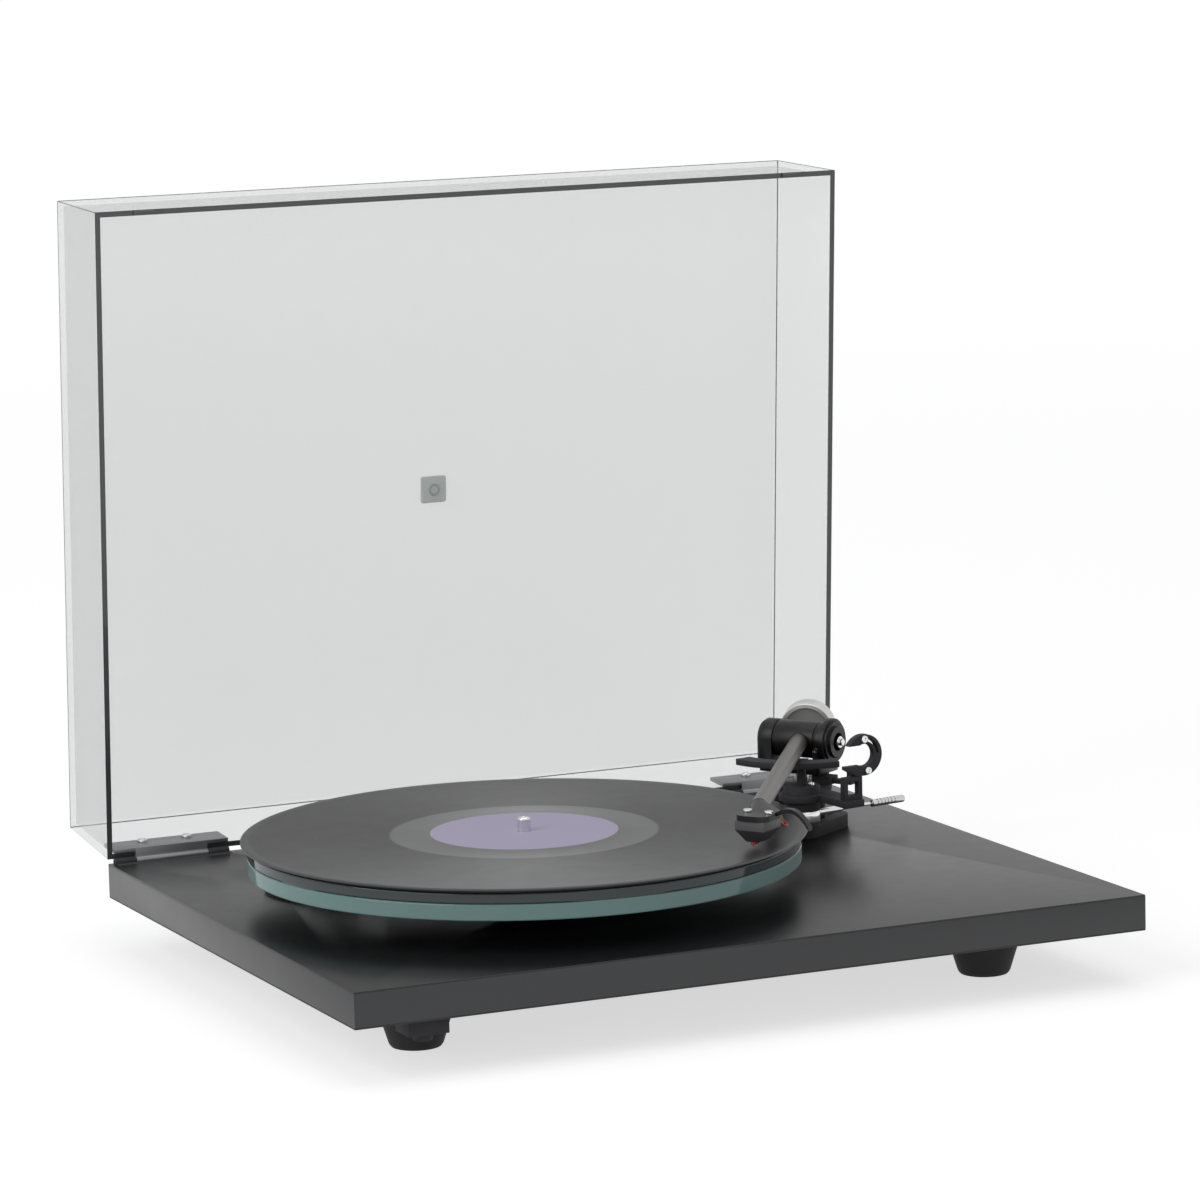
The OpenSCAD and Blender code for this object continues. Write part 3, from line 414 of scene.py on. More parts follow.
@dataclass(frozen=True)
class PrintedLabel(Finish):
    """Paper label: a pale rim, a coloured field and plain rings."""

    centre: tuple[float, float, float] = (0, 0, 0)
    rim: Colour = (0.72, 0.72, 0.72)
    ring: Colour = (0.45, 0.36, 0.52)

    def dress(self, nodes: Nodes, shader: bpy.types.Node) -> None:
        """Feed the shader from the distance to the spindle.

        Args:
            nodes: The material's tree.
            shader: Its Principled BSDF.
        """
        grain = self.grained(nodes, shader)
        share = nodes.math("DIVIDE", radius_of(nodes, self.centre, (0, 0, 1)), 0.05)
        stops = [(0.0, self.ring), (0.15, self.colour), (0.345, self.colour), (0.35, self.ring),
                 (0.36, self.colour), (0.915, self.colour), (0.92, self.rim), (0.985, self.rim),
                 (1.0, (0.5, 0.5, 0.5))]
        tint = nodes.ramp(share, stops)
        mix = nodes.add("ShaderNodeMix", data_type="RGBA", blend_type="MULTIPLY")
        mix.inputs["Factor"].default_value = 0.15
        nodes.join(tint, mix.inputs[6])
        nodes.join(grain.outputs["Height"], mix.inputs[7])
        nodes.join(mix.outputs[2], shader.inputs["Base Color"])


def radius_of(
    nodes: Nodes, centre: Sequence[float], axis: Sequence[float]
) -> bpy.types.NodeSocket:
    """Distance of the shaded point from an axis.

    Args:
        nodes: The material's tree.
        centre: A point on the axis, in metres.
        axis: The axis' direction.

    Returns:
        The distance in metres.
    """
    where = nodes.add("ShaderNodeTexCoord")
    offset = nodes.add("ShaderNodeVectorMath", operation="SUBTRACT")
    nodes.join(where.outputs["Object"], offset.inputs[0])
    offset.inputs[1].default_value = centre
    cross = nodes.add("ShaderNodeVectorMath", operation="CROSS_PRODUCT")
    nodes.join(offset.outputs[0], cross.inputs[0])
    cross.inputs[1].default_value = axis
    length = nodes.add("ShaderNodeVectorMath", operation="LENGTH")
    nodes.join(cross.outputs[0], length.inputs[0])
    return length.outputs["Value"]


class Palette(Enum):
    """The finishes of the record player."""

    BOARD = Finish("lacquered_board", (0.05, 0.051, 0.054), 0.34, grain=0.6, bump=0.012)
    LAMINATE = Finish("black_laminate", (0.013, 0.013, 0.014), 0.32, grain=0.35, bump=0.008)
    UNDERSIDE = Finish("underside_laminate", (0.02, 0.02, 0.021), 0.5, grain=0.5)
    RUBBER = Finish("foot_rubber", (0.02, 0.02, 0.02), 0.55, grain=0.5, bump=0.03)
    BELT = Finish("belt_rubber", (0.03, 0.03, 0.03), 0.7)
    STEEL = Finish("zinc_steel", (0.55, 0.55, 0.56), 0.3, 1.0, grain=0.15, bump=0.004)
    CHROME = Finish("polished_steel", (0.8, 0.8, 0.8), 0.12, 1.0, grain=0.3, bump=0.002)
    BRASS = Finish("turned_brass", (0.65, 0.48, 0.22), 0.3, 1.0, grain=0.2)
    BLACK_METAL = Finish("black_paint", (0.009, 0.009, 0.01), 0.36, 0.0, grain=0.3, bump=0.01, specular=0.35)
    BLACK_PLASTIC = Finish("black_plastic", (0.007, 0.007, 0.008), 0.42, grain=0.25, bump=0.012, specular=0.3)
    GREY_PLASTIC = Finish("cartridge_grey", (0.10, 0.10, 0.105), 0.4, grain=0.25)
    RED_PLASTIC = Finish("stylus_red", (0.55, 0.02, 0.02), 0.35, grain=0.2)
    TUBE = Finish("tube_grey", (0.16, 0.15, 0.145), 0.38, 0.7, grain=0.25, bump=0.006)
    HINGE = Finish("hinge_grey", (0.30, 0.31, 0.32), 0.35, 0.6, grain=0.3, bump=0.006)
    ALUMINIUM = Finish("turned_aluminium", (0.7, 0.7, 0.72), 0.3, 1.0)
    FELT = Finish("felt", (0.012, 0.012, 0.012), 0.95, grain=0.8, bump=0.15, sheen=0.2, colour_change=0.3)
    BUMPER = Finish("bumper_rubber", (0.12, 0.125, 0.125), 0.4)
    # Painted shade: dark grey put on the clear lid's rim and outer corners, for the dark lines that light draws along
    # them.
    EDGE = Finish("acrylic_edge_painted_shade", (0.075, 0.078, 0.08), 0.25, grain=1.0, coat=0.5)
    ACRYLIC = Clear("clear_acrylic", (0.99, 0.99, 0.99), 0.0, roughness_change=0.0, colour_change=0.0,
                    grazing=(0.16, 0.165, 0.17), alpha=0.42)
    BOSS = Clear("boss_acrylic", (0.62, 0.70, 0.66), 0.05, grazing=(0.2, 0.26, 0.24), roughness_change=0.0)
    TEAL_GLASS = Clear("teal_glass", (0.34, 0.45, 0.44), 0.14, grazing=(0.18, 0.26, 0.255), transmission=0.5,
                       shadow=0.2)
    DARK_GLASS = Finish("dark_glass", (0.008, 0.011, 0.011), 0.06, grain=1.0, bump=0.001, specular=0.6)
    WIRE_BLUE = Finish("lead_blue", (0.05, 0.14, 0.45), 0.4)
    WIRE_WHITE = Finish("lead_white", (0.8, 0.78, 0.72), 0.4)
    WIRE_GREEN = Finish("lead_green", (0.05, 0.35, 0.12), 0.4)
    WIRE_RED = Finish("lead_red", (0.6, 0.03, 0.03), 0.4)


# ---- frames and shaping -----------------------------------------------------


@dataclass
class Layout:
    """Where the sub-assemblies are, in millimetres from the deck's front left corner."""

    arm_bearing: float = -122.95
    offset_angle: float = 23.5
    arm_reach: float = 228.2
    park_angle: float = 39.5
    rest_reach: float = 62.0
    axis_h: float = 52.0
    lid_open: float = 86.65
    lever_bearing: float = 11.0
    deck: Matrix = field(init=False)
    spindle: Vector = field(init=False)
    pivot: Vector = field(init=False)
    hinge: Vector = field(init=False)

    def __post_init__(self) -> None:
        """Measure the CAD nodes."""
        low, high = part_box("deck_skin")
        self.deck = Matrix.Translation((low.x, low.y, high.z)) @ Matrix.Scale(MM, 4)
        self.spindle = self.local_middle("record")
        self.pivot = self.local_middle("arm_nut")
        self.lift = self.local_middle("cue_lever")
        self.hinge = self.local_middle("hinge_pins")

    def local_middle(self, node: str) -> Vector:
        """Middle of a node's box in deck millimetres."""
        low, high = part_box(node)
        return self.deck.inverted() @ ((low + high) / 2)

    def height(self, node: str, top: bool = True) -> float:
        """Height of a node's top or bottom above the deck, in millimetres."""
        return (self.deck.inverted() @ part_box(node)[1 if top else 0]).z

    def at_spindle(self) -> Matrix:
        """Frame on the spindle axis, at deck level."""
        return self.deck @ Matrix.Translation((self.spindle.x, self.spindle.y, 0))

    def at_pivot(self, bearing: float) -> Matrix:
        """Frame on the arm's pivot with X towards a bearing."""
        turn = Matrix.Rotation(math.radians(bearing), 4, "Z")
        return self.deck @ Matrix.Translation((372.0, 250.0, 0)) @ turn

    def at_arm(self) -> Matrix:
        """Frame on the pivot with X along the arm."""
        return self.at_pivot(self.arm_bearing)

    def at_yoke(self) -> Matrix:
        """Frame on the pivot with Y along the tilt axis."""
        return self.at_pivot(self.arm_bearing - self.offset_angle)

    def at_stylus(self) -> Matrix:
        """Frame on the stylus with X forwards."""
        turn = Matrix.Rotation(math.radians(-self.offset_angle), 4, "Z")
        return self.at_arm() @ Matrix.Translation((self.arm_reach, 0, 0)) @ turn

    def at_lift(self) -> Matrix:
        """Frame on the lift's axis with X along the lever."""
        reach, bearing = 33.5, math.radians(-116.6)
        spot = (372.0 + reach * math.cos(bearing), 250.0 + reach * math.sin(bearing), 0)
        return self.deck @ Matrix.Translation(spot) @ Matrix.Rotation(math.radians(self.lever_bearing), 4, "Z")

    def at_lid(self) -> Matrix:
        """Frame of the closed lid, turned open with it."""
        axis = Vector((0, 364.3, 0.4))
        turn = Matrix.Rotation(math.radians(-self.lid_open), 4, "X")
        return self.deck @ Matrix.Translation(axis) @ turn @ Matrix.Translation(-axis)


ALONG_Y = Matrix.Rotation(math.radians(-90), 4, "X")
ALONG_X = Matrix.Rotation(math.radians(90), 4, "Y")


def lathe(bm: bmesh.types.BMesh, profile: Profile, place: Matrix, steps: int = 96) -> list[bmesh.types.BMVert]:
    """Spin a closed profile around Z.

    Args:
        bm: The mesh that takes the shape.
        profile: Radius and height of each corner, in millimetres.
        place: Where the shape goes.
        steps: Number of sides.

    Returns:
        The new vertices.
    """
    before = set(bm.verts)
    verts = [bm.verts.new((r, 0, z)) for r, z in profile]
    edges = [bm.edges.new((a, b)) for a, b in zip(verts, verts[1:] + verts[:1])
             if max(a.co.x, b.co.x) > 1e-6]
    bmesh.ops.spin(
        bm, geom=verts + edges, cent=(0, 0, 0), axis=(0, 0, 1), angle=2 * math.pi, steps=steps, use_merge=True,
        use_duplicate=False,
    )
    made = [v for v in bm.verts if v not in before]
    bmesh.ops.remove_doubles(bm, verts=made, dist=1e-4)
    made = [v for v in bm.verts if v not in before]
    faces = list({f for v in made for f in v.link_faces})
    bmesh.ops.recalc_face_normals(bm, faces=faces)
    bmesh.ops.transform(bm, matrix=place, verts=made)
    return made


def block(bm: bmesh.types.BMesh, low: Sequence[float], high: Sequence[float], place: Matrix) -> list:
    """Add a box between two corners.

    Args:
        bm: The mesh that takes the shape.
        low: Lowest corner, in millimetres.
        high: Highest corner, in millimetres.
        place: Where the shape goes.

    Returns:
        The new vertices.
    """
    size = Vector(high) - Vector(low)
    middle = (Vector(high) + Vector(low)) / 2
    matrix = place @ Matrix.Translation(middle) @ Matrix.Diagonal((*size, 1))
    return bmesh.ops.create_cube(bm, size=1.0, matrix=matrix)["verts"]


def soften(bm: bmesh.types.BMesh, width: float, edges: Iterable | None = None, segments: int = 2) -> None:
    """Round the sharp edges.

    Args:
        bm: The mesh.
        width: Width of the rounding, in metres.
        edges: The edges to round, or None for each sharp one.
        segments: Number of faces across the rounding.
    """
    chosen = list(edges) if edges is not None else [
        e for e in bm.edges if e.is_manifold and e.calc_face_angle(0) > SHARP_ANGLE]
    bmesh.ops.bevel(
        bm, geom=chosen, offset=width, offset_type="OFFSET", affect="EDGES", segments=segments, profile=0.5,
        material=-1, clamp_overlap=True,
    )


class Bench:
    """Turns meshes into finished pieces on their bodies."""

    def __init__(self, frame: dict) -> None:
        """Read the frame.
        """
        self.nodes = frame["nodes"]
        self.slots = {s["node"]: s["material_slot"] for s in frame["record"]["subparts"]}
        self.body_of = {n: b for b, ns in frame["record"]["behaviour"]["bodies"].items() for n in ns}
        self.layout = Layout()

    def piece(
        self,
        name: str,
        bm: bmesh.types.BMesh,
        finish: Palette | Finish,
        nodes: Sequence[str],
        others: Sequence[Palette] = (),
        choose: Callable[[Vector], int] | None = None,
        body: str | None = None,
    ) -> bpy.types.Object:
        """Make an object from a mesh, ride it on its body and give it its finish.

        Args:
            name: Name of the piece.
            bm: Its mesh, in metres in the row frame; it is freed.
            finish: Its first finish.
            nodes: CAD nodes that it stands for.
            others: Further finishes.
            choose: Picks a finish by a face's middle, or None for the first one.
            body: The body, when no node is replaced.

        Returns:
            The object.
        """
        for edge in bm.edges:
            edge.smooth = edge.is_manifold and edge.calc_face_angle(0) < SMOOTH_ANGLE
        for face in bm.faces:
            face.smooth = True
            if choose:
                face.material_index = choose(face.calc_center_median())
        mesh = bpy.data.meshes.new(name)
        bm.to_mesh(mesh)
        bm.free()
        for each in (finish, *others):
            mesh.materials.append((each.value if isinstance(each, Palette) else each).build())
        made = bpy.data.objects.new(name, mesh)
        bpy.context.scene.collection.objects.link(made)
        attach(made, body or self.body_of[nodes[0]])
        if body is None:
            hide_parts(*nodes)
        LOG.info("%s: %d faces", name, len(mesh.polygons))
        return made

    def copy_of(self, node: str) -> bmesh.types.BMesh:
        """A merged copy of a CAD node's mesh.

        Args:
            node: Name of the CAD node.

        Returns:
            The mesh, with flat areas in one face.
        """
        bm = bmesh.new()
        bm.from_mesh(self.nodes[node].data)
        bmesh.ops.remove_doubles(bm, verts=bm.verts, dist=2e-6)
        bmesh.ops.dissolve_limit(
            bm, angle_limit=math.radians(0.6), use_dissolve_boundaries=False, verts=bm.verts, edges=bm.edges)
        return bm

    def rounded(self, node: str, width: float, finish: Palette | Finish, **more: object) -> bpy.types.Object:
        """A copy of a CAD node with its edges rounded.

        Args:
            node: Name of the CAD node.
            width: Width of the rounding, in millimetres; 0 leaves the edges sharp.
            finish: Its finish.
            **more: Passed on to piece().

        Returns:
            The object.
        """
        bm = self.copy_of(node)
        if width:
            soften(bm, width * MM)
        return self.piece(node + "_finished", bm, finish, [node], **more)

    def paint(self, node: str, finish: Palette | Finish) -> None:
        """Give a CAD node that stays a finish.

        Args:
            node: Name of the CAD node.
            finish: Its finish.
        """
        materials = self.nodes[node].data.materials
        materials.clear()
        materials.append((finish.value if isinstance(finish, Palette) else finish).build())
        LOG.info("%s: painted", node)


# ---- sub-assemblies ---------------------------------------------------------


@dataclass
class Plinth:
    """The board with its two skins, and the feet."""

    bench: Bench
    edge: float = 0.28
    foot_places: tuple = ((60.0, 68.0), (388.0, 68.0), (224.0, 305.0))
    foot_h: float = 29.0
    plinth_t: float = 19.2

    def build(self) -> None:
        """Make the board and the feet."""
        self.bench.rounded("plinth_core", 0.1, Palette.BOARD)
        self.bench.rounded("deck_skin", self.edge, Palette.LAMINATE)
        self.bench.rounded("base_skin", self.edge, Palette.UNDERSIDE)
        self.feet()
        for node in ("power_socket", "signal_gland", "switch_body", "power_button"):
            self.bench.rounded(node, 0.5, Palette.BLACK_PLASTIC)

    def feet(self) -> None:
        """Turn the three feet, with a rounded sole and a cup for the screw."""
        bm = bmesh.new()
        sole, top, h = 13.5, 22.5, self.foot_h
        slope = (top - sole) / h
        profile = [(2.05, h), (2.05, 20.0), (6.0, 20.0), (6.0, 0.6), (6.6, 0.0), (sole - 1.6, 0.0),
                   (sole - 0.7, 0.25), (sole - 0.1, 0.9), (sole + slope * 2, 2.0)]
        profile += [(sole + slope * z, z) for z in (h * 0.5, h - 0.8)] + [(top - 0.3, h - 0.15), (top - 0.5, h)]
        for x, y in self.foot_places:
            place = self.bench.layout.deck @ Matrix.Translation((x, y, -self.plinth_t - h))
            lathe(bm, profile, place, 72)
        self.bench.piece("feet_turned", bm, Palette.RUBBER, ["feet"])


@dataclass
class Platter:
    """Glass layers, mat, record, label and spindle."""

    bench: Bench
    glass_r: float = 147.0
    chamfer: float = 0.7

    def ring(self, name: str, finish: Palette | Finish, node: str, inner: float, outer: float, chamfer: float) -> None:
        """Turn a flat ring with chamfered rims.

        Args:
            name: Name of the piece.
            finish: Its finish.
            node: The CAD node it stands for.
            inner: Inner radius, in millimetres.
            outer: Outer radius, in millimetres.
            chamfer: Width of the chamfers, in millimetres.
        """
        layout = self.bench.layout
        z0, z1 = layout.height(node, False), layout.height(node)
        bm = bmesh.new()
        profile = [(inner, z0), (outer - chamfer, z0), (outer - chamfer * 0.3, z0 + chamfer * 0.3),
                   (outer, z0 + chamfer), (outer, z1 - chamfer), (outer - chamfer * 0.3, z1 - chamfer * 0.3),
                   (outer - chamfer, z1), (inner, z1)]
        lathe(bm, profile, layout.at_spindle(), 192)
        self.bench.piece(name, bm, finish, [node])

    def build(self) -> None:
        """Make the layers from the bottom up."""
        layout = self.bench.layout
        centre = tuple(layout.at_spindle().translation)
        self.ring("lower_glass", Palette.TEAL_GLASS, "platter_ring", 104, self.glass_r, self.chamfer)
        self.ring("upper_glass", Palette.DARK_GLASS, "platter_disc", 4.1, self.glass_r, self.chamfer)
        self.ring("felt_mat", Palette.FELT, "platter_mat", 4.1, self.glass_r - 1, 0.3)
        vinyl = PressedVinyl("record_vinyl", (0.02, 0.02, 0.021), 0.3, centre=centre, bump=0.02)
        self.record(vinyl)
        label = PrintedLabel("label_paper", (0.25, 0.16, 0.34), 0.5, centre=centre)
        self.ring("label", label, "record_label", 3.6, 49.98, 0.02)
        self.spindle()

    def record(self, finish: Finish) -> None:
        """Press the record: a raised bead at the rim, grooves a little lower."""
        layout = self.bench.layout
        z0, z1 = layout.height("record", False), layout.height("record")
        low = z1 - 0.25
        profile = [(3.6, z0), (148.6, z0), (149.9, z0 + 0.3), (150.45, z0 + 0.8), (150.4, z1 - 0.5),
                   (149.8, z1 - 0.12), (148.8, z1), (147.4, z1 - 0.03), (145.8, low), (72.0, low), (71.0, low - 0.05),
                   (52.2, low), (51.2, z1 - 0.04), (50.0, z1 - 0.02), (50.0, z1 - 0.2), (3.6, z1 - 0.2)]
        bm = bmesh.new()
        lathe(bm, profile, layout.at_spindle(), 256)
        self.bench.piece("record_pressed", bm, finish, ["record"])

    def spindle(self) -> None:
        """Turn the spindle with its collar and chamfered tip."""
        layout = self.bench.layout
        foot, mat = layout.height("spindle", False), layout.height("platter_mat")
        top, deck = layout.height("spindle"), layout.height("record")
        profile = [(0, foot), (5.5, foot), (5.5, 27.9), (4.05, 27.9), (4.05, mat), (3.5, mat), (3.5, deck + 0.05),
                   (3.55, deck + 0.1), (3.55, top - 1.1), (3.35, top - 0.75), (2.7, top - 0.12), (2.4, top),
                   (0.8, top), (0.3, top - 0.25), (0, top - 0.25)]
        bm = bmesh.new()
        lathe(bm, profile, layout.at_spindle(), 64)
        self.bench.piece("spindle_turned", bm, Palette.CHROME, ["spindle"])


@dataclass
class Lid:
    """Acrylic lid with its boss, bumpers and hinges."""

    bench: Bench
    width: float = 448.0
    rear: float = 362.75
    depth: float = 69.5
    wall: float = 3.0
    gap: float = 2.4
    length: float = 360.5
    draft: float = 2.0

    def build(self) -> None:
        """Make the shell, the boss and the hinges."""
        self.shell()
        self.boss()
        bench = self.bench
        bench.rounded("lid_bumpers", 0.4, Palette.BUMPER)
        bench.rounded("hinge_bases", 0.2, Palette.BLACK_PLASTIC)
        bench.rounded("hinge_leaves", 0.25, Palette.HINGE)
        for node in ("leaf_screws", "hinge_base_screws"):
            bench.rounded(node, 0.25, Palette.CHROME)
        bench.paint("hinge_pins", Palette.STEEL)

    def tray(self, bm: bmesh.types.BMesh, inset: float, z0: float, z1: float) -> list:
        """Add a tapered block, wider at the rim.

        Args:
            bm: The mesh.
            inset: Distance inside the lid's outline, in millimetres.
            z0: Height of the rim end.
            z1: Height of the other end.

        Returns:
            Its vertices.
        """
        verts = block(bm, (inset, self.rear - self.length + inset, z0),
                      (self.width - inset, self.rear - inset, z1), Matrix())
        middle = Vector((self.width / 2, self.rear - self.length / 2, 0))
        for v in verts:
            lean = self.draft / self.depth * (v.co.z - self.gap)
            v.co.x += math.copysign(lean, middle.x - v.co.x)
            v.co.y += math.copysign(lean, middle.y - v.co.y)
        return verts

    def shell(self) -> None:
        """Make the five walls with polished outer corners and a square rim."""
        bm = bmesh.new()
        top = self.gap + self.depth
        outer = self.tray(bm, 0, self.gap, top)
        inner = self.tray(bm, self.wall, self.gap, top - self.wall)
        rims = [f for f in bm.faces if all(abs(v.co.z - self.gap) < 0.01 for v in f.verts)]
        loops = [list(f.edges) for f in rims]
        bmesh.ops.delete(bm, geom=rims, context="FACES_ONLY")
        for face in {f for v in inner for f in v.link_faces}:
            face.normal_flip()
        bmesh.ops.bridge_loops(bm, edges=loops[0] + loops[1])
        corner = [e for e in bm.edges if all(v in outer for v in e.verts)
                  and any(v.co.z > self.gap + 1 for v in e.verts)]
        soften(bm, 0.5, corner, 3)
        bmesh.ops.recalc_face_normals(bm, faces=bm.faces)
        bmesh.ops.transform(bm, matrix=self.bench.layout.at_lid(), verts=bm.verts)
        inverse = self.bench.layout.at_lid().inverted()

        def rim(middle: Vector) -> int:
            """Pick the painted dark edge shade for the rim and along the outer corners."""
            spot = inverse @ middle
            lean = self.draft / self.depth * (spot.z - self.gap)
            near = (
                min(spot.x, self.width - spot.x) - lean < 0.6,
                min(self.rear - spot.y, spot.y - self.rear + self.length) - lean < 0.6,
                top - spot.z < 0.6,
            )
            return int(spot.z < self.gap + 0.2 or sum(near) > 1)

        # The second material is painted dark shade on the rim and outer corners of the clear walls.
        self.bench.piece("lid_walls", bm, Palette.ACRYLIC, ["lid_shell"], others=[Palette.EDGE], choose=rim)

    def boss(self) -> None:
        """Make the pillow-shaped boss with a ring around its dimple."""
        place = self.bench.layout.at_lid()
        height = self.gap + self.depth - self.wall
        middle = Matrix.Translation((self.width / 2, self.rear - self.length / 2, height))
        bm = bmesh.new()
        block(bm, (-7.8, -7.8, -3.2), (7.8, 7.8, -0.05), Matrix())
        soften(bm, 1.6, segments=4)
        bmesh.ops.transform(bm, matrix=place @ middle, verts=bm.verts)
        lathe(bm, [(2.4, -3.6), (3.4, -3.6), (3.6, -3.3), (3.6, -3.1), (2.2, -3.1), (2.2, -3.4)],
              place @ middle, 40)
        self.bench.piece("lid_boss_moulded", bm, Palette.BOSS, ["lid_boss"])


@dataclass
class Tonearm:
    """Everything that carries the cartridge, and its rest and lift."""

    bench: Bench
    axis_h: float = 52.0
    leads: tuple = (-5.4, -1.8, 1.8, 5.4)

    def build(self) -> None:
        """Make the fixed pieces, then the moving ones."""
        bench = self.bench
        black = ("arm_base", "rest_bracket", "rest_post", "rest_claw", "lift_body", "lift_platform", "yoke_cap",
                 "bias_guide", "bias_slider")
        for node in black:
            bench.rounded(node, 0.35, Palette.BLACK_PLASTIC)
        for node in ("arm_pillar", "yoke", "arm_hub", "headshell"):
            bench.rounded(node, 0.45, Palette.BLACK_METAL)
        for node in ("arm_base_screws", "rest_and_lift_screws", "yoke_screw"):
            bench.rounded(node, 0.2, Palette.CHROME)
        bench.rounded("arm_tube", 0.0, Palette.TUBE)
        bench.rounded("cue_lever", 0.15, Palette.CHROME)
        self.grip()
        self.dial()
        self.weight()
        self.cartridge()
        self.wires()

    def grip(self) -> None:
        """Turn the sleeve of the cue lever with its grooves."""
        profile = [(1.05, 49.0), (1.7, 49.0), (2.1, 49.4)]
        for k in range(6):
            z = 52 + 2.4 * k
            profile += [(2.1, z), (1.65, z + 0.15), (1.65, z + 0.85), (2.1, z + 1.0)]
        profile += [(2.1, 71.2), (1.9, 71.7), (1.4, 72.0), (0, 72.0), (0, 50.0), (1.05, 50.0)]
        bm = bmesh.new()
        lathe(bm, profile, self.bench.layout.at_lift() @ Matrix.Translation((0, 0, 15.2)) @ ALONG_X, 40)
        self.bench.piece("cue_grip_turned", bm, Palette.ALUMINIUM, ["cue_grip"])

    def dial(self) -> None:
        """Turn the stepped dial and its knob."""
        place = self.bench.layout.at_yoke() @ Matrix.Translation((0, 0, self.axis_h)) @ ALONG_Y
        y = 18.1
        profile = [(0, y), (12.7, y), (13.0, y + 0.3), (13.0, y + 2.7), (12.7, y + 3.0), (11.8, y + 3.0),
                   (11.6, y + 3.2), (11.6, y + 4.1), (11.3, y + 4.4), (9.2, y + 4.4), (9.0, y + 4.6),
                   (9.0, y + 5.7), (8.7, y + 6.0), (5.3, y + 6.0), (5.0, y + 5.7), (5.0, y + 3.0), (0, y + 3.0)]
        bm = bmesh.new()
        lathe(bm, profile, place, 96)
        self.bench.piece("force_dial_turned", bm, Palette.BLACK_METAL, ["force_dial"])
        bm = bmesh.new()
        lathe(bm, [(0, y + 3), (3.2, y + 3), (3.4, y + 3.2), (3.4, y + 7.2), (3.1, y + 7.5), (2.1, y + 7.5),
                   (2.0, y + 7.6), (2.0, y + 8.9), (1.7, y + 9.2), (0, y + 9.2)], place, 48)
        self.bench.piece("dial_knob_turned", bm, Palette.CHROME, ["dial_knob"])

    def weight(self) -> None:
        """Turn the counterweight, with a notch in its rim and a dished front."""
        layout = self.bench.layout
        place = layout.at_arm() @ Matrix.Translation((0, 0, self.axis_h)) @ ALONG_X
        front, back = -26.0, -43.0
        profile = [(4.05, back), (14.7, back), (15.3, back + 0.6), (15.3, front - 5.2), (14.9, front - 4.9),
                   (14.9, front - 4.2), (15.3, front - 3.9), (15.3, front - 0.6), (14.8, front), (12.9, front),
                   (12.3, front - 0.9), (11.0, front - 1.2), (4.05, front - 1.2)]
        bm = bmesh.new()
        lathe(bm, profile, place, 128)
        axis = tuple((layout.at_arm().to_3x3() @ Vector((1, 0, 0))).normalized())
        centre = tuple(place.translation)
        metal = TurnedMetal("weight_steel", (0.6, 0.6, 0.59), 0.22, 1.0, centre=centre, axis=axis, bump=0.012)
        self.bench.piece("counterweight_turned", bm, metal, ["counterweight"])

    def cartridge(self) -> None:
        """Finish the cartridge with its grey band, and its screws, pins and stylus."""
        bench = self.bench
        inverse = bench.layout.at_stylus().inverted()

        def band(middle: Vector) -> int:
            """Grey for the upper band."""
            return int((inverse @ middle).z > 45.6)

        def fitting(middle: Vector) -> int:
            """Red for the stylus holder."""
            spot = inverse @ middle
            return int(-3.8 < spot.x < 0.5 and abs(spot.y) < 1.6 and 37.4 < spot.z < 39.3)

        bench.rounded("cartridge", 0.3, Palette.BLACK_PLASTIC, others=[Palette.GREY_PLASTIC], choose=band)
        bench.rounded("cartridge_fittings", 0.12, Palette.CHROME, others=[Palette.RED_PLASTIC], choose=fitting)

    def wires(self) -> None:
        """Run the four leads from the pins to the tube."""
        place, shell = self.bench.layout.at_stylus(), 50.4
        colours = (Palette.WIRE_BLUE, Palette.WIRE_WHITE, Palette.WIRE_GREEN, Palette.WIRE_RED)
        for k, (y, colour) in enumerate(zip(self.leads, colours)):
            route = [(-18.5, y, shell - 3.2), (-20.5, y + 1.2, shell - 3.9 - 0.5 * k),
                     (-24, y * 0.8 + 2.4, shell - 3.6 - 0.9 * k), (-27, y * 0.4 - 0.2, shell - 2.4 - 0.4 * k),
                     (-28.6, y * 0.35 - 2.6, shell - 0.2)]
            curve = bpy.data.curves.new(f"lead_route_{k}", "CURVE")
            curve.dimensions = "3D"
            curve.bevel_depth = 0.55
            curve.bevel_resolution = 3
            curve.use_fill_caps = True
            line = curve.splines.new("BEZIER")
            line.bezier_points.add(len(route) - 1)
            for point, spot in zip(line.bezier_points, route):
                point.co = spot
                point.handle_left_type = point.handle_right_type = "AUTO"
            holder = bpy.data.objects.new(curve.name, curve)
            bpy.context.scene.collection.objects.link(holder)
            bpy.context.view_layer.update()
            mesh = bpy.data.meshes.new_from_object(holder)
            bpy.data.objects.remove(holder)
            bm = bmesh.new()
            bm.from_mesh(mesh)
            bmesh.ops.transform(bm, matrix=place, verts=bm.verts)
            self.bench.piece(f"cartridge_lead_{k}", bm, colour, ["cartridge_leads"])


@dataclass
class Works:
    """Pieces that stay as the CAD made them, most of them out of sight."""

    bench: Bench

    def build(self) -> None:
        """Paint each one."""
        finishes = {
            "foot_screws": Palette.STEEL, "bearing_housing": Palette.BRASS, "bearing_ball": Palette.STEEL,
            "motor_can": Palette.STEEL, "motor_plate": Palette.BLACK_METAL, "motor_screws": Palette.STEEL,
            "motor_shaft": Palette.STEEL, "pulley": Palette.ALUMINIUM, "drive_belt": Palette.BELT,
            "sub_platter": Palette.BLACK_PLASTIC, "arm_nut": Palette.BRASS, "yoke_spindle": Palette.STEEL,
            "tilt_axle": Palette.STEEL,
        }
        for node, finish in finishes.items():
            self.bench.paint(node, finish)


# ---- studio -----------------------------------------------------------------


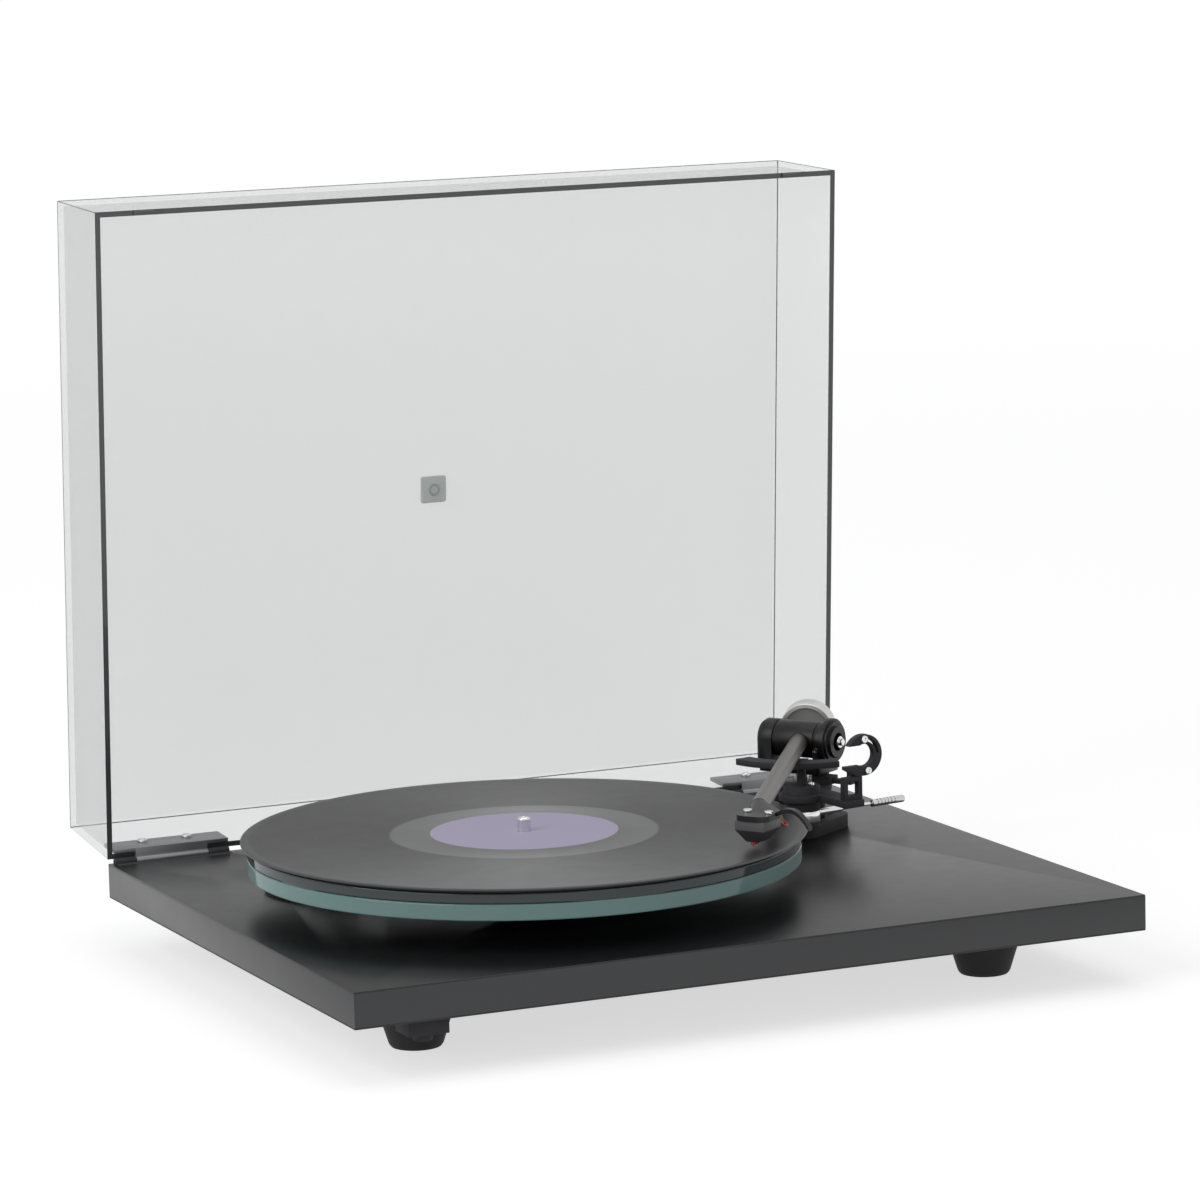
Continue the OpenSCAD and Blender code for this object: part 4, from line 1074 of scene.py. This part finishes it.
@dataclass
class Studio:
    """Camera, floor and soft light."""

    camera_at: tuple = (-1.1463, -2.5684, 0.6264)
    yaw: float = 24.274
    pitch: float = -8.709
    roll: float = -1.402
    lens: float = 157.7
    floor_size: float = 80.0

    def build(self) -> None:
        """Set the whole studio up."""
        self.camera()
        self.floor()
        self.world()
        self.lamp("soft_left", (-2.6, -0.6, 1.7), (0, 0, 0.15), 2.2, 30)
        self.lamp("soft_top", (0.3, 0.5, 3.0), (0, 0, 0), 2.6, 16)
        self.lamp("soft_front", (0.9, -3.2, 1.3), (0, 0, 0.1), 1.6, 5)
        bpy.context.scene.view_settings.view_transform = "Standard"

    def camera(self) -> None:
        """Place the camera with its long lens."""
        data = bpy.data.cameras.new("camera")
        data.lens = self.lens
        data.sensor_width = 36.0
        data.clip_end = 200
        made = bpy.data.objects.new("camera", data)
        bpy.context.scene.collection.objects.link(made)
        yaw, pitch, roll = (math.radians(a) for a in (self.yaw, self.pitch, self.roll))
        right = Vector((math.cos(yaw), -math.sin(yaw), 0))
        ahead = Vector((math.sin(yaw) * math.cos(pitch), math.cos(yaw) * math.cos(pitch), math.sin(pitch)))
        up = right.cross(ahead)
        right, up = (math.cos(roll) * right + math.sin(roll) * up, math.cos(roll) * up - math.sin(roll) * right)
        turn = Matrix((right, up, -ahead)).transposed().to_4x4()
        made.matrix_world = Matrix.Translation(self.camera_at) @ turn
        bpy.context.scene.camera = made

    def floor(self) -> None:
        """Lay a pale floor that keeps the shadows."""
        bm = bmesh.new()
        bmesh.ops.create_grid(bm, x_segments=1, y_segments=1, size=self.floor_size / 2)
        mesh = bpy.data.meshes.new("floor")
        bm.to_mesh(mesh)
        bm.free()
        made = bpy.data.objects.new("floor", mesh)
        bpy.context.scene.collection.objects.link(made)
        material = bpy.data.materials.new("floor")
        material.use_nodes = True
        nodes = Nodes(material.node_tree)
        paper = nodes.add("ShaderNodeBsdfDiffuse")
        paper.inputs["Color"].default_value = (0.72, 0.72, 0.73, 1)
        glow = nodes.add("ShaderNodeEmission")
        path = nodes.add("ShaderNodeLightPath")
        seen = nodes.math("MAXIMUM", path.outputs["Is Camera Ray"], path.outputs["Is Transmission Ray"])
        seen = nodes.math("MAXIMUM", seen, path.outputs["Is Glossy Ray"])
        reach = nodes.add("ShaderNodeMapRange", interpolation_type="SMOOTHSTEP")
        reach.inputs["From Min"].default_value = 0.5
        reach.inputs["From Max"].default_value = 5.0
        reach.inputs["To Min"].default_value = 0.64
        reach.inputs["To Max"].default_value = 0.82
        nodes.join(radius_of(nodes, (0, 0, 0), (0, 0, 1)), reach.inputs["Value"])
        nodes.join(nodes.math("MULTIPLY", seen, reach.outputs["Result"]), glow.inputs["Strength"])
        both = nodes.add("ShaderNodeAddShader")
        output = nodes.add("ShaderNodeOutputMaterial")
        nodes.join(paper.outputs[0], both.inputs[0])
        nodes.join(glow.outputs[0], both.inputs[1])
        nodes.join(both.outputs[0], output.inputs["Surface"])
        mesh.materials.append(material)

    def world(self) -> None:
        """Give a dim even sky that looks white behind the object."""
        world = bpy.data.worlds.new("studio")
        bpy.context.scene.world = world
        world.use_nodes = True
        nodes = Nodes(world.node_tree)
        path = nodes.add("ShaderNodeLightPath")
        sky = nodes.add("ShaderNodeBackground")
        seen = nodes.math("MAXIMUM", path.outputs["Is Camera Ray"], path.outputs["Is Transmission Ray"])
        seen = nodes.math("MAXIMUM", seen, path.outputs["Is Glossy Ray"])
        strength = nodes.math("ADD", 0.32, nodes.math("MULTIPLY", seen, 0.68))
        nodes.join(strength, sky.inputs["Strength"])
        output = nodes.add("ShaderNodeOutputWorld")
        nodes.join(sky.outputs[0], output.inputs["Surface"])

    def lamp(self, name: str, place: Sequence[float], target: Sequence[float], size: float, power: float) -> None:
        """Hang one soft lamp.

        Args:
            name: Its name.
            place: Where it hangs, in metres.
            target: What it points at.
            size: Side of its square, in metres.
            power: Its power in watts.
        """
        data = bpy.data.lights.new(name, "AREA")
        data.shape = "SQUARE"
        data.size = size
        data.energy = power
        made = bpy.data.objects.new(name, data)
        bpy.context.scene.collection.objects.link(made)
        aim = (Vector(target) - Vector(place)).to_track_quat("-Z", "Y").to_matrix().to_4x4()
        made.matrix_world = Matrix.Translation(place) @ aim


def main() -> None:
    """Build the record player around its frame."""
    logging.basicConfig(level=logging.INFO, format="%(message)s")
    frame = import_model()
    grain_group()
    bench = Bench(frame)
    for part in (Plinth(bench), Platter(bench), Lid(bench), Tonearm(bench), Works(bench)):
        part.build()
    Studio().build()


if __name__ == "__main__":
    main()
